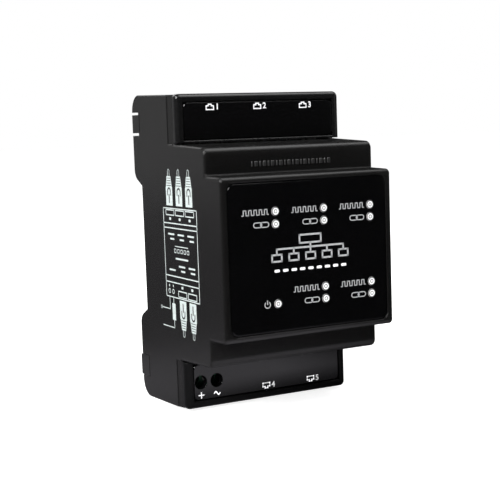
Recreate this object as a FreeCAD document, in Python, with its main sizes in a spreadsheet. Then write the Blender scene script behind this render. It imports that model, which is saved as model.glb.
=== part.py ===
import FreeCAD, Part
import Sketcher

import math
import os
import re

# DIN rail Ethernet switch: a three-module moulded case with five network
# sockets, a mains terminal, a sprung rail clip and eleven indicator lights.
#
# Frame: +X to the viewer's right, +Z up, -Y to the viewer. The origin is the
# middle of the face that seats on the 35 mm rail. "Depth" means the distance
# in front of that face, so depth = -Y.

SIZES = {
    # case
    "case_width": 53.9,
    "case_height": 89.6,
    "body_draft": 0.95,
    "mid_height": 59.9,
    "nose_height": 44.2,
    "mid_draft": 1.0,
    "nose_draft": 0.3,
    "cover_depth": 25.9,
    "mid_depth": 42.8,
    "nose_depth": 51.7,
    "foot_depth": 5.2,
    "rear_round": 4.9,
    "foot_round": 3.5,
    "mid_round": 2.2,
    "nose_round": 1.4,
    "side_round": 0.7,
    "wall": 1.8,
    "gap": 0.1,
    # rail seat, hooks and sprung clip
    "recess_height": 37.4,
    "ramp_rise": 2.7,
    "ramp_shift": 1.2,
    "land_height": 31.0,
    "land_step": 0.3,
    "rear_wall": 2.0,
    "base_round": 1.8,
    "rail_height": 35.0,
    "rail_clearance": 1.2,
    "hook_overlap": 1.7,
    "hook_thickness": 2.3,
    "hook_place": 15.0,
    "hook_width": 8.0,
    "clip_width": 16.0,
    "clip_plate": 2.0,
    "clip_rib": 1.8,
    "clip_rib_width": 11.0,
    "clip_rib_top": 24.0,
    "clip_inset": 0.6,
    "clip_lead": 1.2,
    "clip_window_width": 8.2,
    "clip_window_rise": 17.2,
    "clip_window_height": 12.0,
    "pull_slot_width": 6.0,
    "pull_slot_height": 1.6,
    "channel_wall": 2.0,
    "stop_height": 1.5,
    "spring_strip": 0.4,
    "spring_width": 6.8,
    "spring_depth": 1.5,
    # corner lugs of the base
    "upper_lug_height": 5.4,
    "upper_lug_inset": 7.7,
    "upper_lug_slit": 0.75,
    "lower_lug_height": 6.2,
    "lower_lug_inset": 8.4,
    "lower_lug_slit": 0.2,
    "lug_notch": 5.0,
    "lug_proud": 0.9,
    "lug_side_proud": 0.05,
    # terminal covers and their face plates
    "cover_lip": 0.15,
    "cover_gap": 0.2,
    "cover_thickness": 2.4,
    "cover_groove": 0.7,
    "cover_round": 1.5,
    "skirt_length": 2.0,
    "skirt_wall": 1.2,
    "plate_thickness": 0.9,
    "plate_side_margin": 2.4,
    "plate_top_margin": 2.35,
    "plate_step_margin": 0.75,
    "plate_round": 1.6,
    "plate_bevel": 0.3,
    "strip_width": 3.0,
    "strip_step": 0.15,
    "strip_taper": 0.45,
    # front panel and indicator lights
    "panel_side_margin": 1.9,
    "panel_top_margin": 1.65,
    "panel_thickness": 1.5,
    "panel_sink": 0.1,
    "panel_ledge": 1.6,
    "panel_round": 2.2,
    "panel_bevel": 0.35,
    "light_radius": 1.2,
    "light_stem": 1.8,
    "light_flange": 0.4,
    "light_flange_length": 1.2,
    "light_proud": 0.05,
    "light_fit": 0.05,
    "light_side": 14.45,
    "light_pitch": 15.24,
    "light_pair": 3.4,
    "light_top_margin": 8.05,
    "light_bottom_margin": 11.2,
    "led_width": 3.0,
    "led_height": 2.0,
    "led_thickness": 1.0,
    "led_gap": 0.2,
    # boards and their fixing
    "board_thickness": 1.6,
    "board_rear": 5.4,
    "board_margin": 0.4,
    "led_board_rear": 43.6,
    "led_board_thickness": 1.2,
    "led_board_margin": 2.05,
    "post_width": 4.8,
    "post_margin": 6.45,
    "post_rise": 6.3,
    "screw_radius": 1.0,
    "screw_fit": 0.05,
    "screw_head_radius": 1.9,
    "screw_head_height": 1.5,
    "screw_length": 6.0,
    # network sockets
    "port_pitch": 15.3,
    "jack_width": 13.4,
    "jack_height": 12.6,
    "jack_length": 15.0,
    "jack_sink": 0.4,
    "jack_floor": 1.9,
    "shield": 0.25,
    "plug_width": 11.9,
    "plug_height": 6.8,
    "plug_length": 12.5,
    "latch_width": 6.2,
    "latch_height": 2.4,
    "contact_pitch": 1.02,
    "contact_width": 0.4,
    "contact_strip": 0.3,
    "contact_foot": 0.8,
    "contact_rise": 2.4,
    "contact_lean": 1.9,
    "contact_reach": 8.0,
    "contact_sink": 1.2,
    # mains terminal
    "terminal_side": 4.65,
    "terminal_pitch": 5.08,
    "terminal_inset": 5.6,
    "terminal_length": 12.2,
    "terminal_floor": 1.2,
    "access_radius": 1.95,
    "wire_radius": 1.5,
    "thread_radius": 1.5,
    "thread_fit": 0.05,
    "head_radius": 1.65,
    "head_height": 1.6,
    "head_slot": 0.6,
    "head_slot_depth": 0.9,
    "shoulder": 0.9,
    "cage_width": 4.0,
    "cage_side": 0.5,
    "cage_jaw": 0.7,
    "cage_window": 4.5,
    "cage_top": 1.4,
    "cage_length": 5.0,
    "cage_travel": 2.0,
    "busbar": 0.8,
    # parts on the main board
    "core_width": 20.0,
    "core_limb": 3.5,
    "core_lift": 2.0,
    "core_length": 16.0,
    "core_place": 10.0,
    "large_can_radius": 6.0,
    "large_can_length": 25.0,
    "large_can_side": 9.95,
    "large_can_place": 9.0,
    "small_can_radius": 4.0,
    "small_can_length": 16.0,
    "small_can_place": 12.0,
    "part_gap": 0.4,
    "fuse_radius": 2.5,
    "fuse_cap_rim": 0.25,
    "fuse_cap_length": 5.0,
    "fuse_length": 20.0,
    "fuse_side": 6.95,
    "fuse_top": 2.0,
    "varistor_radius": 5.0,
    "varistor_thickness": 3.0,
    "varistor_side": 15.45,
    "varistor_drop": 14.0,
    "rectifier_width": 10.0,
    "rectifier_height": 6.0,
    "rectifier_side": 8.0,
    "rectifier_drop": 9.0,
    "choke_radius": 6.4,
    "choke_bore": 2.0,
    "choke_length": 4.4,
    "choke_place": 4.0,
    "choke_drop": 21.0,
    "chip_width": 14.0,
    "chip_thickness": 1.4,
    "chip_place": 4.0,
    "crystal_width": 10.0,
    "crystal_height": 3.2,
    "crystal_gap": 1.2,
    "module_width": 6.0,
    "module_height": 6.5,
    "module_thickness": 4.0,
    "module_gap": 1.1,
    "module_shift": 8.3,
    # riser between the two boards
    "riser_side": 6.95,
    "riser_height": 26.0,
    "riser_gap": 1.5,
    "riser_socket_wall": 1.4,
    "riser_socket_end": 2.0,
    "riser_socket_length": 4.0,
}

doc = FreeCAD.newDocument("din_rail_switch")
sheet = doc.addObject("Spreadsheet::Sheet", "sizes")
for row, (size_name, size_value) in enumerate(SIZES.items(), start=1):
    sheet.set(f"A{row}", size_name)
    sheet.set(f"B{row}", str(size_value))
    sheet.setAlias(f"B{row}", size_name)
doc.recompute()

# Formulas that several sub-parts share.
HALF_WIDTH = "(case_width / 2)"
HALF_HEIGHT = "(case_height / 2)"
REAR_HEIGHT = "(case_height / 2 + body_draft)"
INNER_X = "(case_width / 2 - wall)"
INNER_Z = "(case_height / 2 - wall)"
COVER_TOP = "(case_height / 2 + cover_lip)"
COVER_BACK = "(cover_depth - cover_thickness)"
SEAM = "(cover_depth - cover_thickness - cover_groove)"
STEP_TOP = "(mid_height / 2 + mid_draft)"
COVER_BOTTOM = "(mid_height / 2 + mid_draft + cover_gap)"
HALF_RECESS = "(recess_height / 2)"
FOOT_START = "(recess_height / 2 + ramp_rise)"
FOOT_INSIDE = "(rear_wall - foot_depth)"
PANEL_BACK = "(nose_depth - panel_sink - panel_thickness)"
NOSE_INSIDE = "(nose_depth - panel_sink - panel_thickness - panel_ledge)"
PANEL_X = "(case_width / 2 - panel_side_margin)"
PANEL_Z = "(nose_height / 2 - panel_top_margin)"
BOARD_FRONT = "(board_rear + board_thickness)"
LED_BOARD_FRONT = "(led_board_rear + led_board_thickness)"
JACK_REAR = "(board_rear + board_thickness + gap + shield)"
JACK_FRONT = "(board_rear + board_thickness + gap + shield + jack_height)"
JACK_MOUTH = "(case_height / 2 - jack_sink)"
CHANNEL_X = "(clip_width / 2 + gap)"
CHANNEL_FLOOR = "(gap - rail_clearance)"
CLIP_REAR = "(rail_clearance + clip_plate + clip_rib)"
CLIP_BOTTOM = "(case_height / 2 - clip_inset)"
WINDOW_TOP = "(case_height / 2 - clip_inset - clip_window_rise)"
STOP_TOP = f"({WINDOW_TOP} + clip_window_height - gap - stop_height)"
POST_X = "(case_width / 2 - post_margin)"
POST_Z = "(recess_height / 2 + post_rise)"
CAGE_REAR = "(board_rear + board_thickness + terminal_floor + gap)"
CAGE_SIZE = "(cage_jaw + cage_window + cage_top)"
CHAMBER_FRONT = f"({CAGE_REAR} + {CAGE_SIZE} + cage_travel + gap)"
HEAD_SEAT = f"({CHAMBER_FRONT} + shoulder)"
TERMINAL_FRONT = f"({HEAD_SEAT} + head_height + head_slot_depth)"
BUSBAR_FRONT = f"({CAGE_REAR} + cage_jaw + cage_window - gap)"
# The wire goes in between the cage's rear jaw and the busbar.
WIRE_DEPTH = f"({CAGE_REAR} + cage_jaw + (cage_window - busbar - gap) / 2)"

TERMINAL_FIRST = "(terminal_side - case_width / 2)"
TERMINAL_Z = "(case_height / 2 - wall - gap - terminal_inset)"
RISER_LEFT = "(case_width / 2 - riser_side)"
# Sockets 1 to 3 open at the top, 4 and 5 at the bottom: side, then place across.
SOCKETS = ((1, -1), (1, 0), (1, 1), (-1, 0), (-1, 1))
# Indicator lights: place across, then row. The power light stands alone.
LIGHT_PLACES = ((0, 0), (1, 0), (2, 0), (0, 1), (1, 1), (2, 1), (1, 2), (2, 2), (1, 3), (2, 3), (0, 3))

sub_parts = []


def bound(formula):
    """A formula over the sheet's names, as a FreeCAD expression."""
    def with_sheet(match):
        word = match.group()
        return "sizes." + word if word in SIZES else word
    return re.sub(r"[a-z_]+", with_sheet, str(formula))


def amount(formula):
    """The value that a formula has now, in millimetres."""
    return float(probe.evalExpression(bound(formula)))


probe = doc.addObject("App::FeaturePython", "probe")


def finish(feature, label):
    """Name a finished sub-part and put it on the list that is written."""
    feature.Label = label
    sub_parts.append(feature)
    return feature


# ---------------------------------------------------------------- primitives

def block(name, across, depth, height):
    """A box given by its X range, its depth range and its Z range."""
    box = doc.addObject("Part::Box", name)
    box.setExpression("Length", bound(f"({across[1]}) - ({across[0]})"))
    box.setExpression("Width", bound(f"({depth[1]}) - ({depth[0]})"))
    box.setExpression("Height", bound(f"({height[1]}) - ({height[0]})"))
    box.setExpression("Placement.Base.x", bound(across[0]))
    box.setExpression("Placement.Base.y", bound(f"-({depth[1]})"))
    box.setExpression("Placement.Base.z", bound(height[0]))
    return box


def place(feature, x, y, z):
    """Bind a feature's position to three formulas."""
    feature.setExpression("Placement.Base.x", bound(x))
    feature.setExpression("Placement.Base.y", bound(y))
    feature.setExpression("Placement.Base.z", bound(z))


def rod_forward(name, x, z, depth, radius):
    """A cylinder whose axis runs from the rail to the viewer."""
    rod = doc.addObject("Part::Cylinder", name)
    rod.Placement = FreeCAD.Placement(FreeCAD.Vector(), FreeCAD.Rotation(FreeCAD.Vector(1, 0, 0), 90))
    rod.setExpression("Radius", bound(radius))
    rod.setExpression("Height", bound(f"({depth[1]}) - ({depth[0]})"))
    place(rod, x, f"-({depth[0]})", z)
    return rod


def rod_up(name, x, depth, height, radius):
    """A cylinder whose axis runs up the case."""
    rod = doc.addObject("Part::Cylinder", name)
    rod.setExpression("Radius", bound(radius))
    rod.setExpression("Height", bound(f"({height[1]}) - ({height[0]})"))
    place(rod, x, f"-({depth})", height[0])
    return rod


def rod_across(name, across, depth, z, radius):
    """A cylinder whose axis runs across the case."""
    rod = doc.addObject("Part::Cylinder", name)
    rod.Placement = FreeCAD.Placement(FreeCAD.Vector(), FreeCAD.Rotation(FreeCAD.Vector(0, 1, 0), 90))
    rod.setExpression("Radius", bound(radius))
    rod.setExpression("Height", bound(f"({across[1]}) - ({across[0]})"))
    place(rod, across[0], f"-({depth})", z)
    return rod


def fuse(name, pieces):
    """One solid from several that touch."""
    joined = doc.addObject("Part::MultiFuse", name)
    joined.Shapes = pieces
    joined.Refine = True
    return joined


def group(name, pieces):
    """Several separate solids in one sub-part."""
    together = doc.addObject("Part::Compound", name)
    together.Links = pieces
    return together


def cut(name, base, tools):
    """A solid less one or more others."""
    tool = tools[0]
    if len(tools) > 1:
        tool = doc.addObject("Part::MultiFuse", name + "_tools")
        tool.Shapes = tools
    carved = doc.addObject("Part::Cut", name)
    carved.Base = base
    carved.Tool = tool
    return carved


# ------------------------------------------------------- bodies and sketches

def new_body(name):
    """An empty part-design body."""
    return doc.addObject("PartDesign::Body", name)


def sketch_on(body, plane, offset):
    """A sketch on one of the body's own planes, moved along its normal.

    XZ_Plane faces the viewer, so its offset is a depth and its axes are X and Z.
    YZ_Plane faces +X, and XY_Plane faces up.
    """
    sketch = body.newObject("Sketcher::SketchObject", body.Name + "_sketch")
    origin_plane = [item for item in body.Origin.OriginFeatures if item.Role == plane][0]
    sketch.AttachmentSupport = (origin_plane, [""])
    sketch.MapMode = "FlatFace"
    sketch.setExpression("AttachmentOffset.Base.z", bound(offset))
    return sketch


def pin_point(sketch, line, end, horizontal, vertical):
    """Tie one end of a line to two formulas, measured from the origin."""
    for kind, formula in (("DistanceX", horizontal), ("DistanceY", vertical)):
        number = sketch.addConstraint(Sketcher.Constraint(kind, -1, 1, line, end, amount(formula)))
        sketch.setExpression(f"Constraints[{number}]", bound(formula))


def draw_outline(sketch, points):
    """A closed outline through points, each a pair of formulas."""
    corners = [FreeCAD.Vector(amount(x), amount(y), 0) for x, y in points]
    first = sketch.GeometryCount
    count = len(points)
    for index in range(count):
        line = Part.LineSegment(corners[index], corners[(index + 1) % count])
        sketch.addGeometry(line)
    for index in range(count):
        following = first + (index + 1) % count
        sketch.addConstraint(Sketcher.Constraint("Coincident", first + index, 2, following, 1))
    for index, (x, y) in enumerate(points):
        pin_point(sketch, first + index, 1, x, y)


def draw_rectangle(sketch, across, height):
    """A rectangle between two pairs of formulas."""
    left, right = across
    low, high = height
    draw_outline(sketch, [(left, low), (right, low), (right, high), (left, high)])


def draw_circle(sketch, centre, radius):
    """A circle with its centre and radius tied to formulas."""
    middle = FreeCAD.Vector(amount(centre[0]), amount(centre[1]), 0)
    number = sketch.addGeometry(Part.Circle(middle, FreeCAD.Vector(0, 0, 1), amount(radius)))
    pin_point(sketch, number, 3, centre[0], centre[1])
    tie = sketch.addConstraint(Sketcher.Constraint("Radius", number, amount(radius)))
    sketch.setExpression(f"Constraints[{tie}]", bound(radius))


def extrude(body, kind, sketch, length):
    """A pad along the sketch's normal, or a pocket against it."""
    feature = body.newObject("PartDesign::" + kind, body.Name + "_" + kind.lower())
    feature.Profile = sketch
    feature.setExpression("Length", bound(length))
    doc.recompute()
    return feature


def pad_front(body, across, height, depth):
    """Add a box-shaped pad between two depths."""
    sketch = sketch_on(body, "XZ_Plane", depth[0])
    draw_rectangle(sketch, across, height)
    return extrude(body, "Pad", sketch, f"({depth[1]}) - ({depth[0]})")


def pocket_front(body, across, height, depth):
    """Cut a box-shaped pocket between two depths."""
    sketch = sketch_on(body, "XZ_Plane", depth[1])
    draw_rectangle(sketch, across, height)
    return extrude(body, "Pocket", sketch, f"({depth[1]}) - ({depth[0]})")


def pocket_round(body, centres, radius, depth):
    """Drill round holes between two depths."""
    sketch = sketch_on(body, "XZ_Plane", depth[1])
    for centre in centres:
        draw_circle(sketch, centre, radius)
    return extrude(body, "Pocket", sketch, f"({depth[1]}) - ({depth[0]})")


def soften(body, kind, size_name, chosen):
    """Round or bevel the edges of the body's tip that a test picks out."""
    doc.recompute()
    tip = body.Tip
    names = [f"Edge{i}" for i, edge in enumerate(tip.Shape.Edges, start=1) if chosen(edge)]
    feature = body.newObject("PartDesign::" + kind, body.Name + "_" + kind.lower())
    feature.Base = (tip, names)
    feature.setExpression("Radius" if kind == "Fillet" else "Size", bound(size_name))
    doc.recompute()
    return feature


def edge_test(x=None, depth=None, z=None, along=None, both_sides=False):
    """A test for edges at a place; a range takes any middle between its ends."""
    def matches(value, wanted):
        if wanted is None:
            return True
        if isinstance(wanted, tuple):
            return amount(wanted[0]) <= value <= amount(wanted[1])
        return abs(value - amount(wanted)) < 0.01

    def chosen(edge):
        box = edge.BoundBox
        middle = box.Center
        spans = {"x": box.XLength, "depth": box.YLength, "z": box.ZLength}
        if along is not None and any(spans[axis] > 0.01 for axis in spans if axis not in along):
            return False
        if along is not None and all(spans[axis] < 0.01 for axis in along):
            return False
        across = abs(middle.x) if both_sides else middle.x
        up = abs(middle.z) if both_sides else middle.z
        return matches(across, x) and matches(-middle.y, depth) and matches(up, z)
    return chosen


def mirrored(points):
    """An outline's upper half, given from rear to front, with its lower half added."""
    lower = [(x, f"-({y})") for x, y in reversed(points)]
    return points + lower


# ------------------------------------------------------------- main housing

def main_housing():
    """The stepped case: side walls, terminal levels, middle level and nose."""
    body = new_body("main_housing")
    sketch = sketch_on(body, "YZ_Plane", f"-{HALF_WIDTH}")
    front_half = [
        ("foot_depth", REAR_HEIGHT),
        (f"-{SEAM}", HALF_HEIGHT),
        (f"-{SEAM}", STEP_TOP),
        ("-mid_depth", "mid_height / 2"),
        ("-mid_depth", "nose_height / 2 + nose_draft"),
        ("-nose_depth", "nose_height / 2"),
    ]
    rear = [
        ("foot_depth", f"-{FOOT_START}"),
        ("0", f"-{HALF_RECESS}"),
        ("0", HALF_RECESS),
        ("foot_depth", FOOT_START),
    ]
    draw_outline(sketch, mirrored(front_half) + rear)
    extrude(body, "Pad", sketch, "case_width")
    rear_corner = edge_test(depth="-foot_depth", z=REAR_HEIGHT, along="x", both_sides=True)
    soften(body, "Fillet", "rear_round", rear_corner)
    soften(body, "Fillet", "foot_round", edge_test(depth="-foot_depth", z=FOOT_START, along="x", both_sides=True))
    soften(body, "Fillet", "mid_round", edge_test(depth="mid_depth", z="mid_height / 2", along="x", both_sides=True))
    soften(body, "Fillet", "nose_round", edge_test(depth="nose_depth", z="nose_height / 2", along="x", both_sides=True))
    round_sides(body)
    hollow_case(body)
    open_front(body)
    cut_sockets(body)
    cut_rear_notches(body)
    taper_side_strips(body)
    return finish(body, "main_housing")


def round_sides(body):
    """Round the outer edges where the nose and the middle level meet the side walls."""
    nose = edge_test(x=HALF_WIDTH, depth=("mid_depth + gap", "nose_depth"), both_sides=True)
    middle = edge_test(x=HALF_WIDTH, depth=(f"{SEAM} + gap", "mid_depth"), z=("nose_height / 2 + 1", "case_height"),
                       both_sides=True)
    soften(body, "Fillet", "side_round", lambda edge: nose(edge) or middle(edge))


def hollow_case(body):
    """Hollow the case from the rear, leaving walls of one thickness."""
    sketch = sketch_on(body, "YZ_Plane", INNER_X)
    upper = [
        ("foot_depth + 1", INNER_Z),
        (f"-{SEAM}", INNER_Z),
        (f"-{SEAM}", "mid_height / 2 - wall"),
        ("-(mid_depth - wall)", "mid_height / 2 - wall"),
        ("-(mid_depth - wall)", "nose_height / 2 - wall"),
        (f"-{NOSE_INSIDE}", "nose_height / 2 - wall"),
    ]
    draw_outline(sketch, mirrored(upper))
    extrude(body, "Pocket", sketch, f"2 * {INNER_X}")


def open_front(body):
    """Cut the seat of the front panel and the window behind it."""
    half_x = f"({PANEL_X} + gap)"
    half_z = f"({PANEL_Z} + gap)"
    pocket_front(body, (f"-{half_x}", half_x), (f"-{half_z}", half_z), (PANEL_BACK, "nose_depth"))
    soften(body, "Fillet", "panel_round", edge_test(x=half_x, z=half_z, along=("depth",), both_sides=True))
    window_x = f"({half_x} - panel_ledge)"
    window_z = f"({half_z} - panel_ledge)"
    pocket_front(body, (f"-{window_x}", window_x), (f"-{window_z}", window_z), (NOSE_INSIDE, "nose_depth"))


def cut_sockets(body):
    """Cut the socket openings in the top and bottom walls, and the wire entries."""
    half_jack = "(jack_width / 2 + shield + gap)"
    front = f"-({JACK_FRONT} + shield + gap)"
    rear = f"-({JACK_REAR} - shield)"
    for side, number in SOCKETS:
        sketch = sketch_on(body, "XY_Plane", f"{side} * {REAR_HEIGHT}")
        middle = f"{number} * port_pitch"
        draw_rectangle(sketch, (f"{middle} - {half_jack}", f"{middle} + {half_jack}"), (front, rear))
        opening = extrude(body, "Pocket", sketch, "body_draft + wall + gap")
        opening.Reversed = side < 0
    sketch = sketch_on(body, "XY_Plane", f"-{REAR_HEIGHT}")
    for pole in (0, 1):
        draw_circle(sketch, (f"{TERMINAL_FIRST} + {pole} * terminal_pitch", f"-{WIRE_DEPTH}"), "wire_radius")
    entry = extrude(body, "Pocket", sketch, "body_draft + wall + gap")
    entry.Reversed = True
    doc.recompute()


def cut_rear_notches(body):
    """Notch the side walls for the base's lugs, and the bottom wall for the clip."""
    outside = f"({HALF_WIDTH} + 1)"
    for side in (1, -1):
        height = lug_range(side, lug_name(side) + "_slit")
        pocket_front(body, (f"-{outside}", outside), height, ("-foot_depth - 1", "lug_notch - foot_depth"))
    half_notch = f"({CHANNEL_X} + gap)"
    pocket_front(body, (f"-{half_notch}", half_notch), (f"-{REAR_HEIGHT} - 1", f"1 - {INNER_Z}"),
                 ("-foot_depth - 1", f"{CHANNEL_FLOOR} + gap"))


def taper_side_strips(body):
    """Step the side walls in beside each terminal cover, and lead them in towards it."""
    front = f"-{SEAM} - 0.01"
    rear = f"-{SEAM} + strip_width"
    for side in (1, -1):
        face = f"{side} * ({HALF_WIDTH} - strip_step)"
        outer = f"{side} * ({HALF_WIDTH} + 1)"
        inner = f"{side} * ({HALF_WIDTH} - strip_step - strip_taper)"
        for top in ("case_height", f"-{STEP_TOP}"):
            sketch = sketch_on(body, "XY_Plane", top)
            draw_outline(sketch, [(face, rear), (outer, rear), (outer, front), (inner, front)])
            extrude(body, "Pocket", sketch, f"case_height - {STEP_TOP}")


# ---------------------------------------------------------------- rear base

def rear_base():
    """The rear wall: rail seat, two feet, fixed hooks, clip channel, posts and lugs."""
    body = new_body("rear_base")
    half_x = f"({INNER_X} - gap)"
    edge_z = f"({INNER_Z} - gap)"
    inner_land = f"({HALF_RECESS} + ramp_shift)"
    inner_foot = f"({FOOT_START} + ramp_shift)"
    sketch = sketch_on(body, "YZ_Plane", f"-{half_x}")
    outside = [("foot_depth", edge_z), ("foot_depth", FOOT_START), ("0", HALF_RECESS)]
    inside = [("-rear_wall", inner_land), (f"-{FOOT_INSIDE}", inner_foot), (f"-{FOOT_INSIDE}", edge_z)]
    outer_low = [(y, f"-{z}") for y, z in reversed(outside)]
    inner_low = [(y, f"-{z}") for y, z in reversed(inside)]
    draw_outline(sketch, outside + outer_low + inner_low + inside)
    extrude(body, "Pad", sketch, f"2 * {half_x}")
    soften(body, "Fillet", "base_round", edge_test(depth="-foot_depth", z=edge_z, along="x", both_sides=True))
    soften(body, "Fillet", "foot_round", edge_test(depth="-foot_depth", z=FOOT_START, along="x", both_sides=True))
    step_rail_land(body, half_x)
    add_hooks(body)
    add_clip_channel(body, edge_z)
    add_board_posts(body)
    add_lugs(body, half_x)
    return finish(body, "rear_base")


def step_rail_land(body, half_x):
    """Step the floor back above and below the land that bears on the rail."""
    for side in (1, -1):
        pocket_front(body, (f"-{half_x}", half_x), (f"{side} * land_height / 2", f"{side} * {HALF_RECESS}"),
                     ("-1", "land_step"))


def add_hooks(body):
    """Two fixed hooks that reach behind the rail's upper edge."""
    for side in (1, -1):
        left = f"{side} * hook_place - hook_width / 2"
        right = f"{side} * hook_place + hook_width / 2"
        low = "rail_height / 2 - hook_overlap"
        pad_front(body, (left, right), (low, FOOT_START), ("-rail_clearance - hook_thickness", "-rail_clearance"))


def add_clip_channel(body, edge_z):
    """A T-shaped channel for the clip, with the stop that carries its spring."""
    wall_x = f"({CHANNEL_X} + channel_wall)"
    channel_top = f"-({HALF_RECESS} + ramp_shift / 2)"
    slot_rear = f"(-rail_clearance - clip_plate - gap)"
    pad_front(body, (f"-{wall_x}", wall_x), (f"-{edge_z}", channel_top), (CHANNEL_FLOOR, f"{CHANNEL_FLOOR} + rear_wall"))
    pad_front(body, (f"-{wall_x}", wall_x), (f"-{edge_z}", f"-{FOOT_START} - ramp_shift"), (slot_rear, CHANNEL_FLOOR))
    pocket_front(body, (f"-{CHANNEL_X}", CHANNEL_X), (f"-{HALF_HEIGHT}", "-rail_height / 2"),
                 (slot_rear, CHANNEL_FLOOR))
    rib_x = "(clip_rib_width / 2 + 2 * gap)"
    pocket_front(body, (f"-{rib_x}", rib_x), (f"-{HALF_HEIGHT}", "-(clip_rib_top - gap)"),
                 ("-foot_depth - 1", f"{slot_rear} + 0.01"))
    stop_x = "(clip_window_width / 2 - 2 * gap)"
    pad_front(body, (f"-{stop_x}", stop_x), (f"-({STOP_TOP} + stop_height)", f"-{STOP_TOP}"),
              ("-rail_clearance - clip_plate", CHANNEL_FLOOR))


def screw_places():
    """The places of the four screws that hold the main board."""
    return [(f"{x} * {POST_X}", f"{z} * {POST_Z}") for x in (1, -1) for z in (1, -1)]


def add_board_posts(body):
    """Four bored posts that carry the main board."""
    sketch = sketch_on(body, "XZ_Plane", f"{FOOT_INSIDE} - gap")
    for x, z in screw_places():
        draw_rectangle(sketch, (f"{x} - post_width / 2", f"{x} + post_width / 2"),
                       (f"{z} - post_width / 2", f"{z} + post_width / 2"))
    extrude(body, "Pad", sketch, f"board_rear - ({FOOT_INSIDE} - gap)")
    pocket_round(body, screw_places(), "screw_radius + screw_fit", (f"{BOARD_FRONT} - screw_length - gap", "board_rear"))


def lug_name(side):
    """The start of the size names of the lugs at the top or the bottom."""
    return "upper_lug" if side > 0 else "lower_lug"


def lug_range(side, clearance):
    """The Z range of the lugs at the top or the bottom, grown by a clearance."""
    name = lug_name(side)
    middle = f"{side} * ({HALF_HEIGHT} - {name}_inset)"
    return f"{middle} - {name}_height / 2 - {clearance}", f"{middle} + {name}_height / 2 + {clearance}"


def add_lugs(body, half_x):
    """Four corner lugs in the notches of the side walls; the lower two stand proud."""
    outside = f"({HALF_WIDTH} + lug_side_proud)"
    for z_side, proud in ((1, "0"), (-1, "lug_proud")):
        for x_side in (1, -1):
            pad_front(body, (f"{x_side} * ({half_x} - 1)", f"{x_side} * {outside}"), lug_range(z_side, "0"),
                      (f"-foot_depth - {proud}", "lug_notch - foot_depth - gap"))


def rail_clip():
    """The sprung foot: a T-shaped slide with a hook, a spring window and a pull slot."""
    body = new_body("rail_clip")
    plate_rear = "(-rail_clearance - clip_plate)"
    pad_front(body, ("-clip_width / 2", "clip_width / 2"), (f"-{CLIP_BOTTOM}", "-(rail_height / 2 - hook_overlap)"),
              (plate_rear, "-rail_clearance"))
    pad_front(body, ("-clip_rib_width / 2", "clip_rib_width / 2"), (f"-{CLIP_BOTTOM}", "-clip_rib_top"),
              (f"-{CLIP_REAR}", plate_rear))
    soften(body, "Chamfer", "clip_lead", edge_test(depth=plate_rear, z="-(rail_height / 2 - hook_overlap)", along="x"))
    pocket_front(body, ("-clip_window_width / 2", "clip_window_width / 2"),
                 (f"-({WINDOW_TOP} + clip_window_height)", f"-{WINDOW_TOP}"), (f"-{CLIP_REAR} - 1", "0"))
    slot_low = f"-({CLIP_BOTTOM} - pull_slot_height)"
    pocket_front(body, ("-pull_slot_width / 2", "pull_slot_width / 2"),
                 (slot_low, f"{slot_low} + pull_slot_height"), (f"-{CLIP_REAR} - 1", "0"))
    return finish(body, "rail_clip")


def clip_spring():
    """A flat spring folded to and fro between the base's stop and the clip."""
    folds = 6
    low = f"-{STOP_TOP}"
    pitch = f"(({STOP_TOP} - {WINDOW_TOP} - spring_strip) / {folds - 1})"
    rear = "(-rail_clearance - clip_plate / 2 - spring_depth / 2)"
    depth = (rear, f"{rear} + spring_depth")
    pieces = []
    for fold in range(folds):
        base = f"({low} + {fold} * {pitch})"
        pieces.append(block("spring_fold", ("-spring_width / 2", "spring_width / 2"), depth,
                            (base, f"{base} + spring_strip")))
        if fold < folds - 1:
            side = 1 if fold % 2 == 0 else -1
            across = (f"{side} * spring_width / 2 - ({side} + 1) / 2 * spring_strip",
                      f"{side} * spring_width / 2 - ({side} - 1) / 2 * spring_strip")
            pieces.append(block("spring_turn", across, depth, (base, f"{base} + {pitch} + spring_strip")))
    return finish(fuse("clip_spring", pieces), "clip_spring")


# ----------------------------------------------------- terminal covers, front

def terminal_cover(label, side):
    """A cover over a row of connectors, with a skirt inside the case and a sunk front."""
    body = new_body(label)
    inner = f"{side} * {COVER_BOTTOM}"
    pad_front(body, (f"-{HALF_WIDTH}", HALF_WIDTH), (inner, f"{side} * {COVER_TOP}"), (COVER_BACK, "cover_depth"))
    top = edge_test(depth="cover_depth", z=COVER_TOP, along="x", both_sides=True)
    upright = edge_test(x=HALF_WIDTH, depth="cover_depth", along="z", both_sides=True)
    corner = edge_test(x=HALF_WIDTH, z=COVER_TOP, along=("depth",), both_sides=True)
    soften(body, "Fillet", "cover_round", lambda edge: top(edge) or upright(edge) or corner(edge))
    skirt_x = f"({INNER_X} - gap)"
    skirt_z = f"{side} * ({INNER_Z} - gap)"
    skirt_rear = f"({SEAM} - skirt_length)"
    pad_front(body, (f"-{skirt_x}", skirt_x), (inner, skirt_z), (skirt_rear, COVER_BACK))
    pocket_front(body, (f"-({skirt_x} - skirt_wall)", f"({skirt_x} - skirt_wall)"),
                 (f"{inner} + {side} * skirt_wall", f"{skirt_z} - {side} * skirt_wall"), (f"{skirt_rear} - 1", COVER_BACK))
    recess = plate_edges(side, "gap")
    pocket_front(body, recess[0], recess[1], ("cover_depth - plate_thickness - gap", "cover_depth + 1"))
    if side < 0:
        pocket_round(body, pole_centres(), "access_radius + gap", (f"{COVER_BACK} - 1", "cover_depth"))
    return finish(body, label)


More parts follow.
